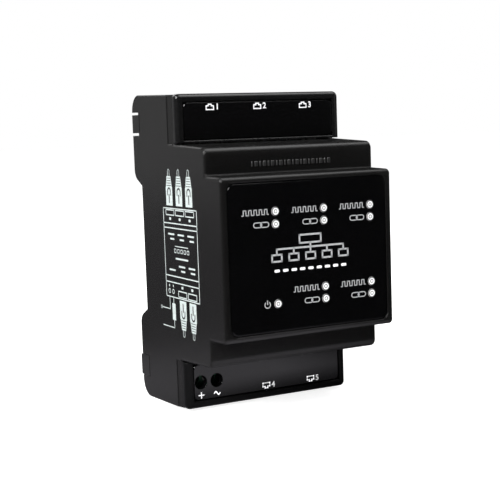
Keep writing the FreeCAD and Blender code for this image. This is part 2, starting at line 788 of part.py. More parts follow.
def plate_edges(side, clearance):
    """The X and Z ranges of a face plate, grown all round by a clearance."""
    half_x = f"({HALF_WIDTH} - plate_side_margin + {clearance})"
    low = f"{side} * ({COVER_BOTTOM} + plate_step_margin - {clearance})"
    high = f"{side} * ({COVER_TOP} - plate_top_margin + {clearance})"
    return (f"-{half_x}", half_x), (low, high)


def pole_centres():
    """The two screw places of the mains terminal."""
    return [(f"{TERMINAL_FIRST} + {pole} * terminal_pitch", f"-{TERMINAL_Z}") for pole in (0, 1)]


def face_plate(label, side):
    """A glossy plate let into a terminal cover."""
    body = new_body(label)
    across, height = plate_edges(side, "0")
    front = "(cover_depth - gap)"
    pad_front(body, across, height, (f"{front} - plate_thickness", front))
    soften(body, "Fillet", "plate_round", edge_test(x=across[1], along=("depth",), both_sides=True))
    soften(body, "Chamfer", "plate_bevel", lambda edge: abs(edge.BoundBox.YMin + amount(front)) < 0.001
           and edge.BoundBox.YLength < 0.001)
    if side < 0:
        pocket_round(body, pole_centres(), "access_radius", ("0", "cover_depth"))
    return finish(body, label)


def light_place(place_number, row):
    """The X and Z formulas of one indicator light."""
    upper = f"({PANEL_Z} - light_top_margin)"
    lower = f"(light_bottom_margin - {PANEL_Z})"
    rows = (upper, f"({upper} - light_pair)", lower, f"({lower} - light_pair)")
    return f"(light_side - {PANEL_X} + {place_number} * light_pitch)", rows[row]


def front_panel():
    """The glossy panel in the nose, bored for the indicator lights."""
    body = new_body("front_panel")
    front = "(nose_depth - panel_sink)"
    pad_front(body, (f"-{PANEL_X}", PANEL_X), (f"-{PANEL_Z}", PANEL_Z), (PANEL_BACK, front))
    soften(body, "Fillet", "panel_round", edge_test(x=PANEL_X, z=PANEL_Z, along=("depth",), both_sides=True))
    soften(body, "Chamfer", "panel_bevel", lambda edge: abs(edge.BoundBox.YMin + amount(front)) < 0.001
           and edge.BoundBox.YLength < 0.001)
    centres = [light_place(*place_row) for place_row in LIGHT_PLACES]
    pocket_round(body, centres, "light_radius + light_fit", ("0", "nose_depth"))
    return finish(body, "front_panel")


def light_pipe(number, place_number, row):
    """A clear bar from one indicator to the front panel: square stem and collar, round tip."""
    x, z = light_place(place_number, row)
    rear = f"({LED_BOARD_FRONT} + led_thickness + led_gap)"
    collar_rear = f"({PANEL_BACK} - light_flange_length)"
    half_stem = "(light_stem / 2)"
    half_collar = "(light_radius + light_flange)"
    stem = block("pipe_stem", (f"{x} - {half_stem}", f"{x} + {half_stem}"), (rear, collar_rear),
                 (f"{z} - {half_stem}", f"{z} + {half_stem}"))
    collar = block("pipe_collar", (f"{x} - {half_collar}", f"{x} + {half_collar}"), (collar_rear, PANEL_BACK),
                   (f"{z} - {half_collar}", f"{z} + {half_collar}"))
    tip = rod_forward("pipe_tip", x, z, (PANEL_BACK, "nose_depth - panel_sink + light_proud"), "light_radius")
    label = f"light_pipe_{number}"
    return finish(fuse(label, [stem, collar, tip]), label)


# ------------------------------------------------------------------- boards

def main_board():
    """The circuit board on the four posts of the base."""
    half_x = f"({INNER_X} - board_margin)"
    half_z = f"({INNER_Z} - board_margin)"
    board = block("board_blank", (f"-{half_x}", half_x), ("board_rear", BOARD_FRONT), (f"-{half_z}", half_z))
    holes = [
        rod_forward("board_hole", *centre, ("board_rear - 1", f"{BOARD_FRONT} + 1"), "screw_radius + screw_fit")
        for centre in screw_places()
    ]
    return finish(cut("main_board", board, holes), "main_board")


def board_screws():
    """Four pan-head screws that hold the main board to its posts."""
    screws = []
    for centre in screw_places():
        head = rod_forward("screw_head", *centre, (BOARD_FRONT, f"{BOARD_FRONT} + screw_head_height"),
                           "screw_head_radius")
        shank = rod_forward("screw_shank", *centre, (f"{BOARD_FRONT} - screw_length", BOARD_FRONT), "screw_radius")
        screws.append(fuse("board_screw", [head, shank]))
    return finish(group("board_screws", screws), "board_screws")


def led_board():
    """The small board behind the front panel."""
    half_x = f"({PANEL_X} - led_board_margin)"
    half_z = f"({PANEL_Z} - led_board_margin)"
    board = block("led_board", (f"-{half_x}", half_x), ("led_board_rear", LED_BOARD_FRONT), (f"-{half_z}", half_z))
    return finish(board, "led_board")


def indicator_leds():
    """The eleven surface-mounted lights on the small board."""
    lights = []
    for place_row in LIGHT_PLACES:
        x, z = light_place(*place_row)
        lights.append(block("led", (f"{x} - led_width / 2", f"{x} + led_width / 2"),
                            (LED_BOARD_FRONT, f"{LED_BOARD_FRONT} + led_thickness"),
                            (f"{z} - led_height / 2", f"{z} + led_height / 2")))
    return finish(group("indicator_leds", lights), "indicator_leds")


# ---------------------------------------------------------- network sockets

def socket_range(side, inner, outer):
    """A Z range measured inwards from the mouth of a socket on one side."""
    return sorted_range(side, f"({JACK_MOUTH} - ({inner}))", f"({JACK_MOUTH} - ({outer}))")


def sorted_range(side, low, high):
    """A Z range on the upper or the lower side, low end first."""
    return (low, high) if side > 0 else (f"-{high}", f"-{low}")


def jack_shell(number, side, place_number):
    """The folded metal screen round one socket."""
    middle = f"({place_number} * port_pitch)"
    half = "(jack_width / 2)"
    outer = block("shell_outer", (f"{middle} - {half} - shield", f"{middle} + {half} + shield"),
                  (f"{JACK_REAR} - shield", f"{JACK_FRONT} + shield"), socket_range(side, "jack_length + shield", "0"))
    inner = block("shell_inner", (f"{middle} - {half}", f"{middle} + {half}"), (f"{JACK_REAR} - 1", JACK_FRONT),
                  socket_range(side, "jack_length", "-1"))
    label = f"jack_shell_{number}"
    return finish(cut(label, outer, [inner]), label)


def jack_insert(number, side, place_number):
    """The moulded inside of one socket: plug opening, latch slot and contact trough."""
    middle = f"({place_number} * port_pitch)"
    plug_rear = f"({JACK_REAR} + jack_floor)"
    plug_front = f"({plug_rear} + plug_height)"
    half_trough = "(4 * contact_pitch)"
    solid = block("insert_blank", (f"{middle} - jack_width / 2", f"{middle} + jack_width / 2"),
                  (JACK_REAR, JACK_FRONT), socket_range(side, "jack_length", "0"))
    plug = block("plug_opening", (f"{middle} - plug_width / 2", f"{middle} + plug_width / 2"),
                 (plug_rear, plug_front), socket_range(side, "plug_length", "-1"))
    latch = block("latch_slot", (f"{middle} - latch_width / 2", f"{middle} + latch_width / 2"),
                  (f"{plug_front} - 1", f"{plug_front} + latch_height"), socket_range(side, "plug_length", "-1"))
    trough = block("contact_trough", (f"{middle} - {half_trough}", f"{middle} + {half_trough}"),
                   (f"{JACK_REAR} - 1", f"{plug_rear} + 1"), socket_range(side, "plug_length - 1", "contact_sink - gap"))
    label = f"jack_insert_{number}"
    return finish(cut(label, solid, [plug, latch, trough]), label)


def jack_contacts(number, side, place_number):
    """Eight spring contacts: foot on the board, riser, then a leaf leaning into the plug."""
    body_points = contact_outline(side)
    contacts = []
    for index in range(8):
        body = new_body("contact")
        x = f"({place_number} * port_pitch + ({index} - 3.5) * contact_pitch - contact_width / 2)"
        sketch = sketch_on(body, "YZ_Plane", x)
        draw_outline(sketch, body_points)
        extrude(body, "Pad", sketch, "contact_width")
        contacts.append(body)
    label = f"jack_contacts_{number}"
    return finish(group(label, contacts), label)


def contact_outline(side):
    """The bent strip of one contact, as depth and height formulas."""
    foot = BOARD_FRONT
    top = "contact_sink"
    bend = "(contact_sink + contact_foot)"
    tip = "(contact_sink + contact_foot + contact_reach)"
    points = [
        (foot, top),
        (foot, f"{bend} + contact_strip"),
        (f"{foot} + contact_rise", f"{bend} + contact_strip"),
        (f"{foot} + contact_rise + contact_lean", tip),
        (f"{foot} + contact_rise + contact_lean + contact_strip", tip),
        (f"{foot} + contact_rise + contact_strip", bend),
        (f"{foot} + contact_strip", bend),
        (f"{foot} + contact_strip", top),
    ]
    return [(f"-({depth})", f"{side} * ({JACK_MOUTH} - ({inward}))") for depth, inward in points]


# ----------------------------------------------------------- mains terminal

def terminal_block():
    """The two-pole mains terminal: a chamber, screw bore and wire entry for each pole."""
    low = f"-({INNER_Z} - gap)"
    left = f"({TERMINAL_FIRST} - terminal_pitch / 2)"
    solid = block("terminal_blank", (left, f"{left} + 2 * terminal_pitch"), (BOARD_FRONT, TERMINAL_FRONT),
                  (low, f"{low} + terminal_length"))
    tools = []
    chamber_x = "(cage_width / 2 + gap)"
    chamber_z = "(cage_length / 2 + gap)"
    slot_x = "(cage_width / 2 - cage_side)"
    for x, z in pole_centres():
        tools.append(block("chamber", (f"{x} - {chamber_x}", f"{x} + {chamber_x}"), (f"{CAGE_REAR} - gap", CHAMBER_FRONT),
                           (f"{z} - {chamber_z}", f"{z} + {chamber_z}")))
        tools.append(rod_up("wire_entry", x, WIRE_DEPTH, (f"{low} - 1", f"{z} - {chamber_z} + 0.5"), "wire_radius"))
        tools.append(rod_forward("shank_hole", x, z, (f"{CHAMBER_FRONT} - 0.5", f"{HEAD_SEAT} + 0.5"),
                                 "thread_radius + thread_fit"))
        tools.append(rod_forward("head_bore", x, z, (HEAD_SEAT, f"{TERMINAL_FRONT} + 1"), "access_radius"))
        tools.append(block("busbar_slot", (f"{x} - {slot_x}", f"{x} + {slot_x}"), (f"{BOARD_FRONT} - 1", BUSBAR_FRONT),
                           (f"{z} + {chamber_z} - 0.5", f"{z} + {chamber_z} + 1 + busbar")))
    return finish(cut("terminal_block", solid, tools), "terminal_block")


def terminal_screw(label, pole):
    """A slotted clamping screw whose head bears on the terminal's shoulder."""
    x, z = pole_centres()[pole]
    head = rod_forward("head", x, z, (HEAD_SEAT, f"{HEAD_SEAT} + head_height"), "head_radius")
    shank = rod_forward("shank", x, z, (f"{BUSBAR_FRONT} + gap", HEAD_SEAT), "thread_radius")
    slot = block("slot", (f"{x} - head_radius - 1", f"{x} + head_radius + 1"),
                 (f"{HEAD_SEAT} + head_height - head_slot_depth", f"{HEAD_SEAT} + head_height + 1"),
                 (f"{z} - head_slot / 2", f"{z} + head_slot / 2"))
    return finish(cut(label, fuse("screw_solid", [head, shank]), [slot]), label)


def terminal_cage(label, pole):
    """A rising cage: a square ring that the screw draws towards its head."""
    x, z = pole_centres()[pole]
    height = (f"{z} - cage_length / 2", f"{z} + cage_length / 2")
    window_x = "(cage_width / 2 - cage_side)"
    solid = block("cage_blank", (f"{x} - cage_width / 2", f"{x} + cage_width / 2"),
                  (CAGE_REAR, f"{CAGE_REAR} + {CAGE_SIZE}"), height)
    window = block("cage_window", (f"{x} - {window_x}", f"{x} + {window_x}"),
                   (f"{CAGE_REAR} + cage_jaw", f"{CAGE_REAR} + cage_jaw + cage_window"),
                   (f"{z} - cage_length", f"{z} + cage_length"))
    thread = rod_forward("cage_thread", x, z, (f"{CAGE_REAR} + cage_jaw + 1", f"{CAGE_REAR} + {CAGE_SIZE} + 1"),
                         "thread_radius + thread_fit")
    return finish(cut(label, solid, [window, thread]), label)


def terminal_busbar(label, pole):
    """A bent bar from the board through the cage, that the wire is clamped against."""
    x, z = pole_centres()[pole]
    half = "(cage_width / 2 - cage_side - gap)"
    leg = f"({z} + cage_length / 2 + 3 * gap)"
    across = (f"{x} - {half}", f"{x} + {half}")
    bar = block("busbar_arm", across, (f"{BUSBAR_FRONT} - busbar", BUSBAR_FRONT),
                (f"{z} - cage_length / 2", f"{leg} + busbar"))
    stand = block("busbar_leg", across, (BOARD_FRONT, BUSBAR_FRONT), (leg, f"{leg} + busbar"))
    return finish(fuse(label, [bar, stand]), label)


# ---------------------------------------------------------- parts on boards

def on_board(label, across, height, thickness):
    """A plain moulded part standing on the front of the main board."""
    part = block(label, across, (BOARD_FRONT, f"{BOARD_FRONT} + {thickness}"), height)
    return finish(part, label)


def transformer():
    """The supply's transformer: a coil former inside a square core."""
    half_core = "(core_width / 2)"
    half_coil = "(core_width / 2 - core_limb)"
    coil_x = (f"-{half_coil}", half_coil)
    coil_z = (f"core_place - {half_coil}", f"core_place + {half_coil}")
    coil_depth = (BOARD_FRONT, f"{BOARD_FRONT} + core_length + 2 * core_lift")
    ring = block("core_blank", (f"-{half_core}", half_core),
                 (f"{BOARD_FRONT} + core_lift", f"{BOARD_FRONT} + core_lift + core_length"),
                 (f"core_place - {half_core}", f"core_place + {half_core}"))
    window = block("core_window", coil_x, coil_depth, coil_z)
    finish(cut("transformer_core", ring, [window]), "transformer_core")
    finish(block("transformer_winding", coil_x, coil_depth, coil_z), "transformer_winding")


def supply_parts():
    """Capacitors, fuse, varistor, rectifier and choke of the mains supply."""
    finish(rod_forward("input_capacitor", f"large_can_side - {HALF_WIDTH}", "large_can_place",
                       (BOARD_FRONT, f"{BOARD_FRONT} + large_can_length"), "large_can_radius"), "input_capacitor")
    small_can_x = f"({RISER_LEFT} - riser_socket_wall - part_gap - small_can_radius)"
    finish(rod_forward("output_capacitor", small_can_x, "small_can_place",
                       (BOARD_FRONT, f"{BOARD_FRONT} + small_can_length"), "small_can_radius"), "output_capacitor")
    fuse_part()
    varistor_rear = f"varistor_side - {HALF_WIDTH} - varistor_thickness"
    finish(rod_across("varistor", (varistor_rear, f"{varistor_rear} + varistor_thickness"),
                      f"{BOARD_FRONT} + varistor_radius", "-varistor_drop", "varistor_radius"), "varistor")
    on_board("bridge_rectifier", ("-rectifier_side", "rectifier_width - rectifier_side"),
             ("-rectifier_drop", "rectifier_height - rectifier_drop"), "rectifier_height")
    choke_depth = (BOARD_FRONT, f"{BOARD_FRONT} + choke_length")
    ring = rod_forward("choke_ring", "-choke_place", "-choke_drop", choke_depth, "choke_radius")
    bore = rod_forward("choke_bore", "-choke_place", "-choke_drop", (f"{BOARD_FRONT} - 1", f"{choke_depth[1]} + 1"),
                       "choke_bore")
    finish(cut("choke", ring, [bore]), "choke")


def fuse_part():
    """The mains fuse: a glass tube with a metal cap at each end."""
    x = f"fuse_side - {HALF_WIDTH}"
    depth = f"{BOARD_FRONT} + fuse_radius + fuse_cap_rim"
    bottom = "-(fuse_top + fuse_length)"
    tube = rod_up("fuse_tube", x, depth, (bottom, "-fuse_top"), "fuse_radius")
    caps = [
        rod_up("fuse_cap", x, depth, (low, f"{low} + fuse_cap_length"), "fuse_radius + fuse_cap_rim")
        for low in (bottom, "-(fuse_top + fuse_cap_length)")
    ]
    finish(fuse("mains_fuse", [tube] + caps), "mains_fuse")


def network_parts():
    """The switch chip, its crystal and the isolating modules of the five ports."""
    on_board("switch_chip", ("chip_place", "chip_place + chip_width"), ("-chip_width", "0"), "chip_thickness")
    crystal_left = "(chip_place + (chip_width - crystal_width) / 2)"
    crystal_top = "(-chip_width - crystal_gap)"
    on_board("clock_crystal", (crystal_left, f"{crystal_left} + crystal_width"),
             (f"{crystal_top} - crystal_height", crystal_top), "crystal_height")
    modules = []
    for side, number in SOCKETS:
        # The choke stands behind the first lower socket, so its module is further across.
        shift = "port_pitch - module_shift" if (side, number) == (-1, 0) else "0"
        middle = f"({number} * port_pitch + {shift})"
        outer = f"({JACK_MOUTH} - jack_length - shield - module_gap)"
        modules.append(block("module", (f"{middle} - module_width / 2", f"{middle} + module_width / 2"),
                             (BOARD_FRONT, f"{BOARD_FRONT} + module_thickness"),
                             sorted_range(side, f"({outer} - module_height)", outer)))
    finish(group("isolating_modules", modules), "isolating_modules")


def riser():
    """A board on edge that joins the main board to the light board, in two sockets."""
    across = (RISER_LEFT, f"{RISER_LEFT} + board_thickness")
    depth = (f"{BOARD_FRONT} + riser_gap", "led_board_rear - riser_gap")
    height = ("-riser_height / 2", "riser_height / 2")
    finish(block("riser_board", across, depth, height), "riser_board")
    outer_x = (f"{RISER_LEFT} - riser_socket_wall", f"{RISER_LEFT} + board_thickness + riser_socket_wall")
    outer_z = ("-riser_height / 2 - riser_socket_end", "riser_height / 2 + riser_socket_end")
    for label, socket_depth in (("riser_socket_rear", (BOARD_FRONT, f"{BOARD_FRONT} + riser_socket_length")),
                                ("riser_socket_front", ("led_board_rear - riser_socket_length", "led_board_rear"))):
        solid = block("riser_socket", outer_x, socket_depth, outer_z)
        slot = block("riser_slot", across, depth, height)
        finish(cut(label, solid, [slot]), label)


# -------------------------------------------------------------------- build

main_housing()
rear_base()
rail_clip()
clip_spring()
terminal_cover("upper_terminal_cover", 1)
terminal_cover("lower_terminal_cover", -1)
face_plate("upper_face_plate", 1)
face_plate("lower_face_plate", -1)
front_panel()
for light_number, (light_column, light_row) in enumerate(LIGHT_PLACES, start=1):
    light_pipe(light_number, light_column, light_row)
main_board()
board_screws()
led_board()
indicator_leds()
for socket_number, (socket_side, socket_place) in enumerate(SOCKETS, start=1):
    jack_shell(socket_number, socket_side, socket_place)
    jack_insert(socket_number, socket_side, socket_place)
    jack_contacts(socket_number, socket_side, socket_place)
terminal_block()
for pole_number, pole_name in enumerate(("n", "l")):
    terminal_screw(f"terminal_screw_{pole_name}", pole_number)
    terminal_cage(f"terminal_cage_{pole_name}", pole_number)
    terminal_busbar(f"terminal_busbar_{pole_name}", pole_number)
transformer()
supply_parts()
network_parts()
riser()
doc.recompute()

for item in doc.Objects:
    if "Invalid" in item.State or "Error" in item.State:
        raise RuntimeError(f"{item.Label} did not build")
os.makedirs("parts", exist_ok=True)
for feature in sub_parts:
    shape = feature.Shape
    if shape.isNull() or not shape.isValid() or not shape.Solids:
        raise RuntimeError(f"{feature.Label} is not a valid solid")
    shape.exportStep(f"parts/{feature.Label}.step")
print(len(sub_parts), "sub-parts written")
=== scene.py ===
import math

import bmesh
import bpy
from mathutils import Matrix, Vector


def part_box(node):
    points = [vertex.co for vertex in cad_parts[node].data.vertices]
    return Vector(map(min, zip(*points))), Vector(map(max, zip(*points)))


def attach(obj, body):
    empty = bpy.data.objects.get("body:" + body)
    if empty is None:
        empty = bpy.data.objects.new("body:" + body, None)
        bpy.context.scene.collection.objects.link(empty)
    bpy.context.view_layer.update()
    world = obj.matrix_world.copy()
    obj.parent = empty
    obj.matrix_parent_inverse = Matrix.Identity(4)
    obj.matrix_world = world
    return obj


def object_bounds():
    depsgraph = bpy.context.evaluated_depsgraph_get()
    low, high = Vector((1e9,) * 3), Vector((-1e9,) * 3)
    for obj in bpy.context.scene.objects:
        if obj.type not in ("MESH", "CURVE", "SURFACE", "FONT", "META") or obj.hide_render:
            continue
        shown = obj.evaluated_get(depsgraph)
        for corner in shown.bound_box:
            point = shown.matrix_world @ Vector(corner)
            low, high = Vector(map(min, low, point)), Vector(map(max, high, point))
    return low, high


MM = 0.001

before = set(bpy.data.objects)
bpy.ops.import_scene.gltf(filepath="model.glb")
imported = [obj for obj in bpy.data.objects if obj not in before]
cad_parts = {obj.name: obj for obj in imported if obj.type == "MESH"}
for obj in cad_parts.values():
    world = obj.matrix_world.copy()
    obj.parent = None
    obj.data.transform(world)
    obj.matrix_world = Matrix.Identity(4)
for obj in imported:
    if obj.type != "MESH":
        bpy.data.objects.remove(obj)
cad_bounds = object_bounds()

# ------------------------------------------------------------ frame measures
# Measures are in millimetres. Depth is the distance out of the rail, towards -Y.


def node_range(node):
    """Where a CAD node ends on the left, in front, below and above."""
    low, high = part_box(node)
    return {
        "left": low[0] / MM,
        "front": -low[1] / MM,
        "bottom": low[2] / MM,
        "top": high[2] / MM,
    }


def node_middle(node):
    """The middle of a CAD node in X and Z."""
    low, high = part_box(node)
    return (low[0] + high[0]) / 2 / MM, (low[2] + high[2]) / 2 / MM


HOUSING = node_range("main_housing")
PANEL = node_range("front_panel")
UPPER_PLATE = node_range("upper_face_plate")
LOWER_PLATE = node_range("lower_face_plate")
# The front of the case's middle level. No node's box ends there, so it is given as in the part's source.
MIDDLE_FRONT = 42.8

# How far a printed mark stands off the surface that it is on.
INK = 0.02


# ------------------------------------------------------------ plane outlines

def rounded_bar(x, z, width, height, radius, steps=5):
    """The outline of a rectangle with rounded corners, about its middle."""
    radius = min(radius, width / 2, height / 2)
    points = []
    for corner, (sx, sz) in enumerate(((1, 1), (-1, 1), (-1, -1), (1, -1))):
        centre_x = x + sx * (width / 2 - radius)
        centre_z = z + sz * (height / 2 - radius)
        for step in range(steps + 1):
            angle = math.pi / 2 * (corner + step / steps)
            points.append((centre_x + radius * math.cos(angle), centre_z + radius * math.sin(angle)))
    return points


def ring_pieces(x, z, radius, width, steps, start=0.0, sweep=1.0):
    """Four-sided pieces that make up a ring, or an arc of one; start and sweep are shares of a turn."""
    inner = radius - width / 2
    outer = radius + width / 2
    pieces = []
    for step in range(steps):
        a = 2 * math.pi * (start + sweep * step / steps)
        b = 2 * math.pi * (start + sweep * (step + 1) / steps)
        pieces.append([
            (x + inner * math.cos(a), z + inner * math.sin(a)),
            (x + outer * math.cos(a), z + outer * math.sin(a)),
            (x + outer * math.cos(b), z + outer * math.sin(b)),
            (x + inner * math.cos(b), z + inner * math.sin(b)),
        ])
    return pieces


def stroke(points, width):
    """A line of one width through points, as an outline with square ends for each run."""
    pieces = []
    for (x0, z0), (x1, z1) in zip(points, points[1:]):
        length = math.hypot(x1 - x0, z1 - z0)
        ux = (x1 - x0) / length * width / 2
        uz = (z1 - z0) / length * width / 2
        pieces.append([
            (x0 - ux - uz, z0 - uz + ux),
            (x0 - ux + uz, z0 - uz - ux),
            (x1 + ux + uz, z1 + uz - ux),
            (x1 + ux - uz, z1 + uz + ux),
        ])
    return pieces


def frame_lines(left, right, bottom, top, width):
    """A rectangle drawn as a line."""
    return stroke([(left, bottom), (right, bottom), (right, top), (left, top), (left, bottom)], width)


# -------------------------------------------------------------- mesh building

def mesh_piece(name, vertices, faces, material, body="case"):
    """A mesh piece in the row frame that rides on a body."""
    mesh = bpy.data.meshes.new(name)
    mesh.from_pydata([Vector(v) * MM for v in vertices], [], faces)
    mesh.update()
    piece = bpy.data.objects.new(name, mesh)
    bpy.context.scene.collection.objects.link(piece)
    mesh.materials.append(material)
    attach(piece, body)
    return piece


def face_outward(piece):
    """Turn every face of a piece the same way out."""
    mesh = piece.data
    working = bmesh.new()
    working.from_mesh(mesh)
    bmesh.ops.recalc_face_normals(working, faces=working.faces)
    working.to_mesh(mesh)
    working.free()


def print_marks(name, outlines, lay, material):
    """One piece from flat outlines; lay puts an outline's point in space."""
    vertices = []
    faces = []
    for outline in outlines:
        faces.append(list(range(len(vertices), len(vertices) + len(outline))))
        vertices += [lay(*point) for point in outline]
    face_outward(mesh_piece(name, vertices, faces, material))


def print_on_front(name, outlines, depth, material):
    """Marks on a face that looks at the viewer; outlines are in X and Z."""
    print_marks(name, outlines, lambda x, z: (x, -(depth + INK), z), material)


def print_on_left(name, outlines, place, material):
    """Marks on the left side wall; outlines are in depth and Z."""
    print_marks(name, outlines, lambda d, z: (place - INK, -d, z), material)


# ------------------------------------------------------------------ materials

# How fine the surfaces' patterns are, as noise scales; a higher one is finer.
MOTTLE_SCALE = 260.0
SMEAR_SCALE = 1400.0
GRAIN_SCALE = 9000.0
HAZE_SCALE = 90.0
PEEL_SCALE = 500.0
POLISH_SCALE = 600.0
SCRATCH_SCALE = 2400.0
FILM_SCALE = 2200.0
TOOTH_SCALE = 6000.0
PAPER_SCALE = 30.0

# Most values of a noise texture lie in the first range; the second gives firmer patches.
NOISE_RANGE = (0.3, 0.7)
PATCH_RANGE = (0.35, 0.65)

# Edges count as worn within this radius. Wear starts and is full where the rounded and the true
# direction of the surface agree this closely.
WEAR_RADIUS = 0.35
WEAR_START = 0.99
WEAR_FULL = 0.75

# How much darker or lighter than the plain colour a pattern goes.
MOTTLE_SHADES = (0.88, 1.12)
WORN_SHADE = 1.6
HAZE_SHADE = 1.5
DULL_SHADE = 0.75
FADED_SHADE = 0.8
# The lowest and highest share of the plain roughness.
MOULDED_SPREAD = (0.97, 1.04)
POLISHED_SPREAD = (0.8, 1.3)

# Where the colour sockets of a mix node are.
MIX_FIRST = 6
MIX_SECOND = 7
MIX_RESULT = 2


def new_material(name):
    """A node material, its node tree and its principled shader."""
    material = bpy.data.materials.new(name)
    material.use_nodes = True
    tree = material.node_tree
    shader = tree.nodes["Principled BSDF"]
    return material, tree, shader


def add_node(tree, kind, **settings):
    """A node with some of its properties set."""
    node = tree.nodes.new(kind)
    for key, value in settings.items():
        setattr(node, key, value)
    return node


def set_inputs(node, **values):
    """Constant values on a node's sockets, by name with _ for a space."""
    for key, value in values.items():
        node.inputs[key.replace("_", " ")].default_value = value


def noise(tree, scale, detail=3.0):
    """A noise texture laid out in the object's own metres."""
    place = add_node(tree, "ShaderNodeTexCoord")
    texture = add_node(tree, "ShaderNodeTexNoise")
    set_inputs(texture, Scale=scale, Detail=detail, Roughness=0.5)
    tree.links.new(place.outputs["Object"], texture.inputs["Vector"])
    return texture.outputs["Fac"]


def remap(tree, value, low, high, out_low, out_high):
    """A value moved from one range to another, and kept within it."""
    node = add_node(tree, "ShaderNodeMapRange")
    node.clamp = True
    for socket, number in zip(("From Min", "From Max", "To Min", "To Max"), (low, high, out_low, out_high)):
        node.inputs[socket].default_value = number
    tree.links.new(value, node.inputs["Value"])
    return node.outputs["Result"]


def scaled(colour, factor):
    """A colour with every channel times a factor."""
    return tuple(channel * factor for channel in colour)


def mix_colour(tree, factor, first, second):
    """A mix of two colours by a factor's socket; each colour is a tuple or a socket."""
    node = add_node(tree, "ShaderNodeMix", data_type="RGBA")
    tree.links.new(factor, node.inputs[0])
    for place, colour in ((MIX_FIRST, first), (MIX_SECOND, second)):
        if isinstance(colour, tuple):
            node.inputs[place].default_value = (*colour, 1.0)
        else:
            tree.links.new(colour, node.inputs[place])
    return node.outputs[MIX_RESULT]


def rounded_normal(tree, radius, samples=4):
    """The direction of the surface as if its edges had a radius, in millimetres."""
    bevel = add_node(tree, "ShaderNodeBevel", samples=samples)
    bevel.inputs["Radius"].default_value = radius * MM
    return bevel.outputs["Normal"]


def edge_mask(tree):
    """1 on sharp edges, 0 on flat faces."""
    geometry = add_node(tree, "ShaderNodeNewGeometry")
    dot = add_node(tree, "ShaderNodeVectorMath", operation="DOT_PRODUCT")
    tree.links.new(rounded_normal(tree, WEAR_RADIUS), dot.inputs[0])
    tree.links.new(geometry.outputs["Normal"], dot.inputs[1])
    return remap(tree, dot.outputs["Value"], WEAR_START, WEAR_FULL, 0.0, 1.0)


def vary_roughness(tree, shader, pattern, roughness, spread):
    """A roughness that follows a pattern between two shares of its plain value."""
    least, most = spread
    varied = remap(tree, pattern, *NOISE_RANGE, roughness * least, roughness * most)
    tree.links.new(varied, shader.inputs["Roughness"])


def bump(tree, shader, height, strength, distance):
    """A bump on the shader from a height socket; the distance is in millimetres."""
    node = add_node(tree, "ShaderNodeBump")
    set_inputs(node, Strength=strength, Distance=distance * MM)
    tree.links.new(height, node.inputs["Height"])
    tree.links.new(node.outputs["Normal"], shader.inputs["Normal"])
    return node


def moulded(name, colour, roughness, grain_strength=0.12, soften=0.25, specular=0.5):
    """Moulded plastic: fine grain, faint mottling, and edges rubbed a little paler.

    Its edges are shaded as if they had a radius, soften.
    """
    material, tree, shader = new_material(name)
    dark, light = (scaled(colour, shade) for shade in MOTTLE_SHADES)
    base = mix_colour(tree, noise(tree, MOTTLE_SCALE, detail=4.0), dark, light)
    worn = mix_colour(tree, edge_mask(tree), base, scaled(colour, WORN_SHADE))
    tree.links.new(worn, shader.inputs["Base Color"])
    smear = noise(tree, SMEAR_SCALE, detail=2.0)
    vary_roughness(tree, shader, smear, roughness, MOULDED_SPREAD)
    set_inputs(shader, Specular_IOR_Level=specular)
    grain = bump(tree, shader, noise(tree, GRAIN_SCALE, detail=2.0), grain_strength, distance=0.05)
    tree.links.new(rounded_normal(tree, soften), grain.inputs["Normal"])
    return material


def glossy(name, colour, roughness=0.08):
    """Polished plastic with a faint orange peel, its edges shaded as if a little rounded."""
    material, tree, shader = new_material(name)
    haze = noise(tree, HAZE_SCALE)
    tree.links.new(mix_colour(tree, haze, colour, scaled(colour, HAZE_SHADE)), shader.inputs["Base Color"])
    vary_roughness(tree, shader, haze, roughness, POLISHED_SPREAD)
    peel = bump(tree, shader, noise(tree, PEEL_SCALE, detail=1.0), strength=0.04, distance=0.05)
    tree.links.new(rounded_normal(tree, radius=0.3, samples=8), peel.inputs["Normal"])
    return material


def metal(name, colour, roughness):
    """Plated or drawn metal with fine uneven polish."""
    material, tree, shader = new_material(name)
    polish = noise(tree, POLISH_SCALE, detail=5.0)
    tree.links.new(mix_colour(tree, polish, scaled(colour, DULL_SHADE), colour), shader.inputs["Base Color"])
    set_inputs(shader, Metallic=1.0)
    vary_roughness(tree, shader, polish, roughness, POLISHED_SPREAD)
    bump(tree, shader, noise(tree, SCRATCH_SCALE, detail=2.0), strength=0.08, distance=0.02)
    return material


def ink(name, colour, roughness=0.5, glow=0.0):
    """Screen-printed ink with a slightly uneven film; a little glow, painted light, keeps it pale whatever
    light falls on it.
    """
    material, tree, shader = new_material(name)
    film = remap(tree, noise(tree, FILM_SCALE), *PATCH_RANGE, 0.0, 1.0)
    tone = mix_colour(tree, film, scaled(colour, FADED_SHADE), colour)
    tree.links.new(tone, shader.inputs["Base Color"])
    set_inputs(shader, Roughness=roughness, Specular_IOR_Level=0.2)
    # The glow is painted light: the ink itself gives none.
    if glow:
        tree.links.new(tone, shader.inputs["Emission Color"])
        set_inputs(shader, Emission_Strength=glow)
    bump(tree, shader, noise(tree, TOOTH_SCALE, detail=2.0), strength=0.1, distance=0.02)
    return material


CASE = moulded(
    "case_moulding", (0.007, 0.0068, 0.0067), 0.26, grain_strength=0.05, soften=0.9, specular=0.36,
)
BASE = moulded("base_moulding", (0.012, 0.012, 0.0122), 0.35, specular=0.4)
COVER = moulded("cover_moulding", (0.006, 0.006, 0.0062), 0.22, grain_strength=0.08, soften=0.6)
# The raised bars are the case's own plastic, given a paler colour as a painted highlight.
EMBOSS_HIGHLIGHT = moulded("raised_marks_highlight", (0.03, 0.03, 0.03), 0.3, soften=0.03)
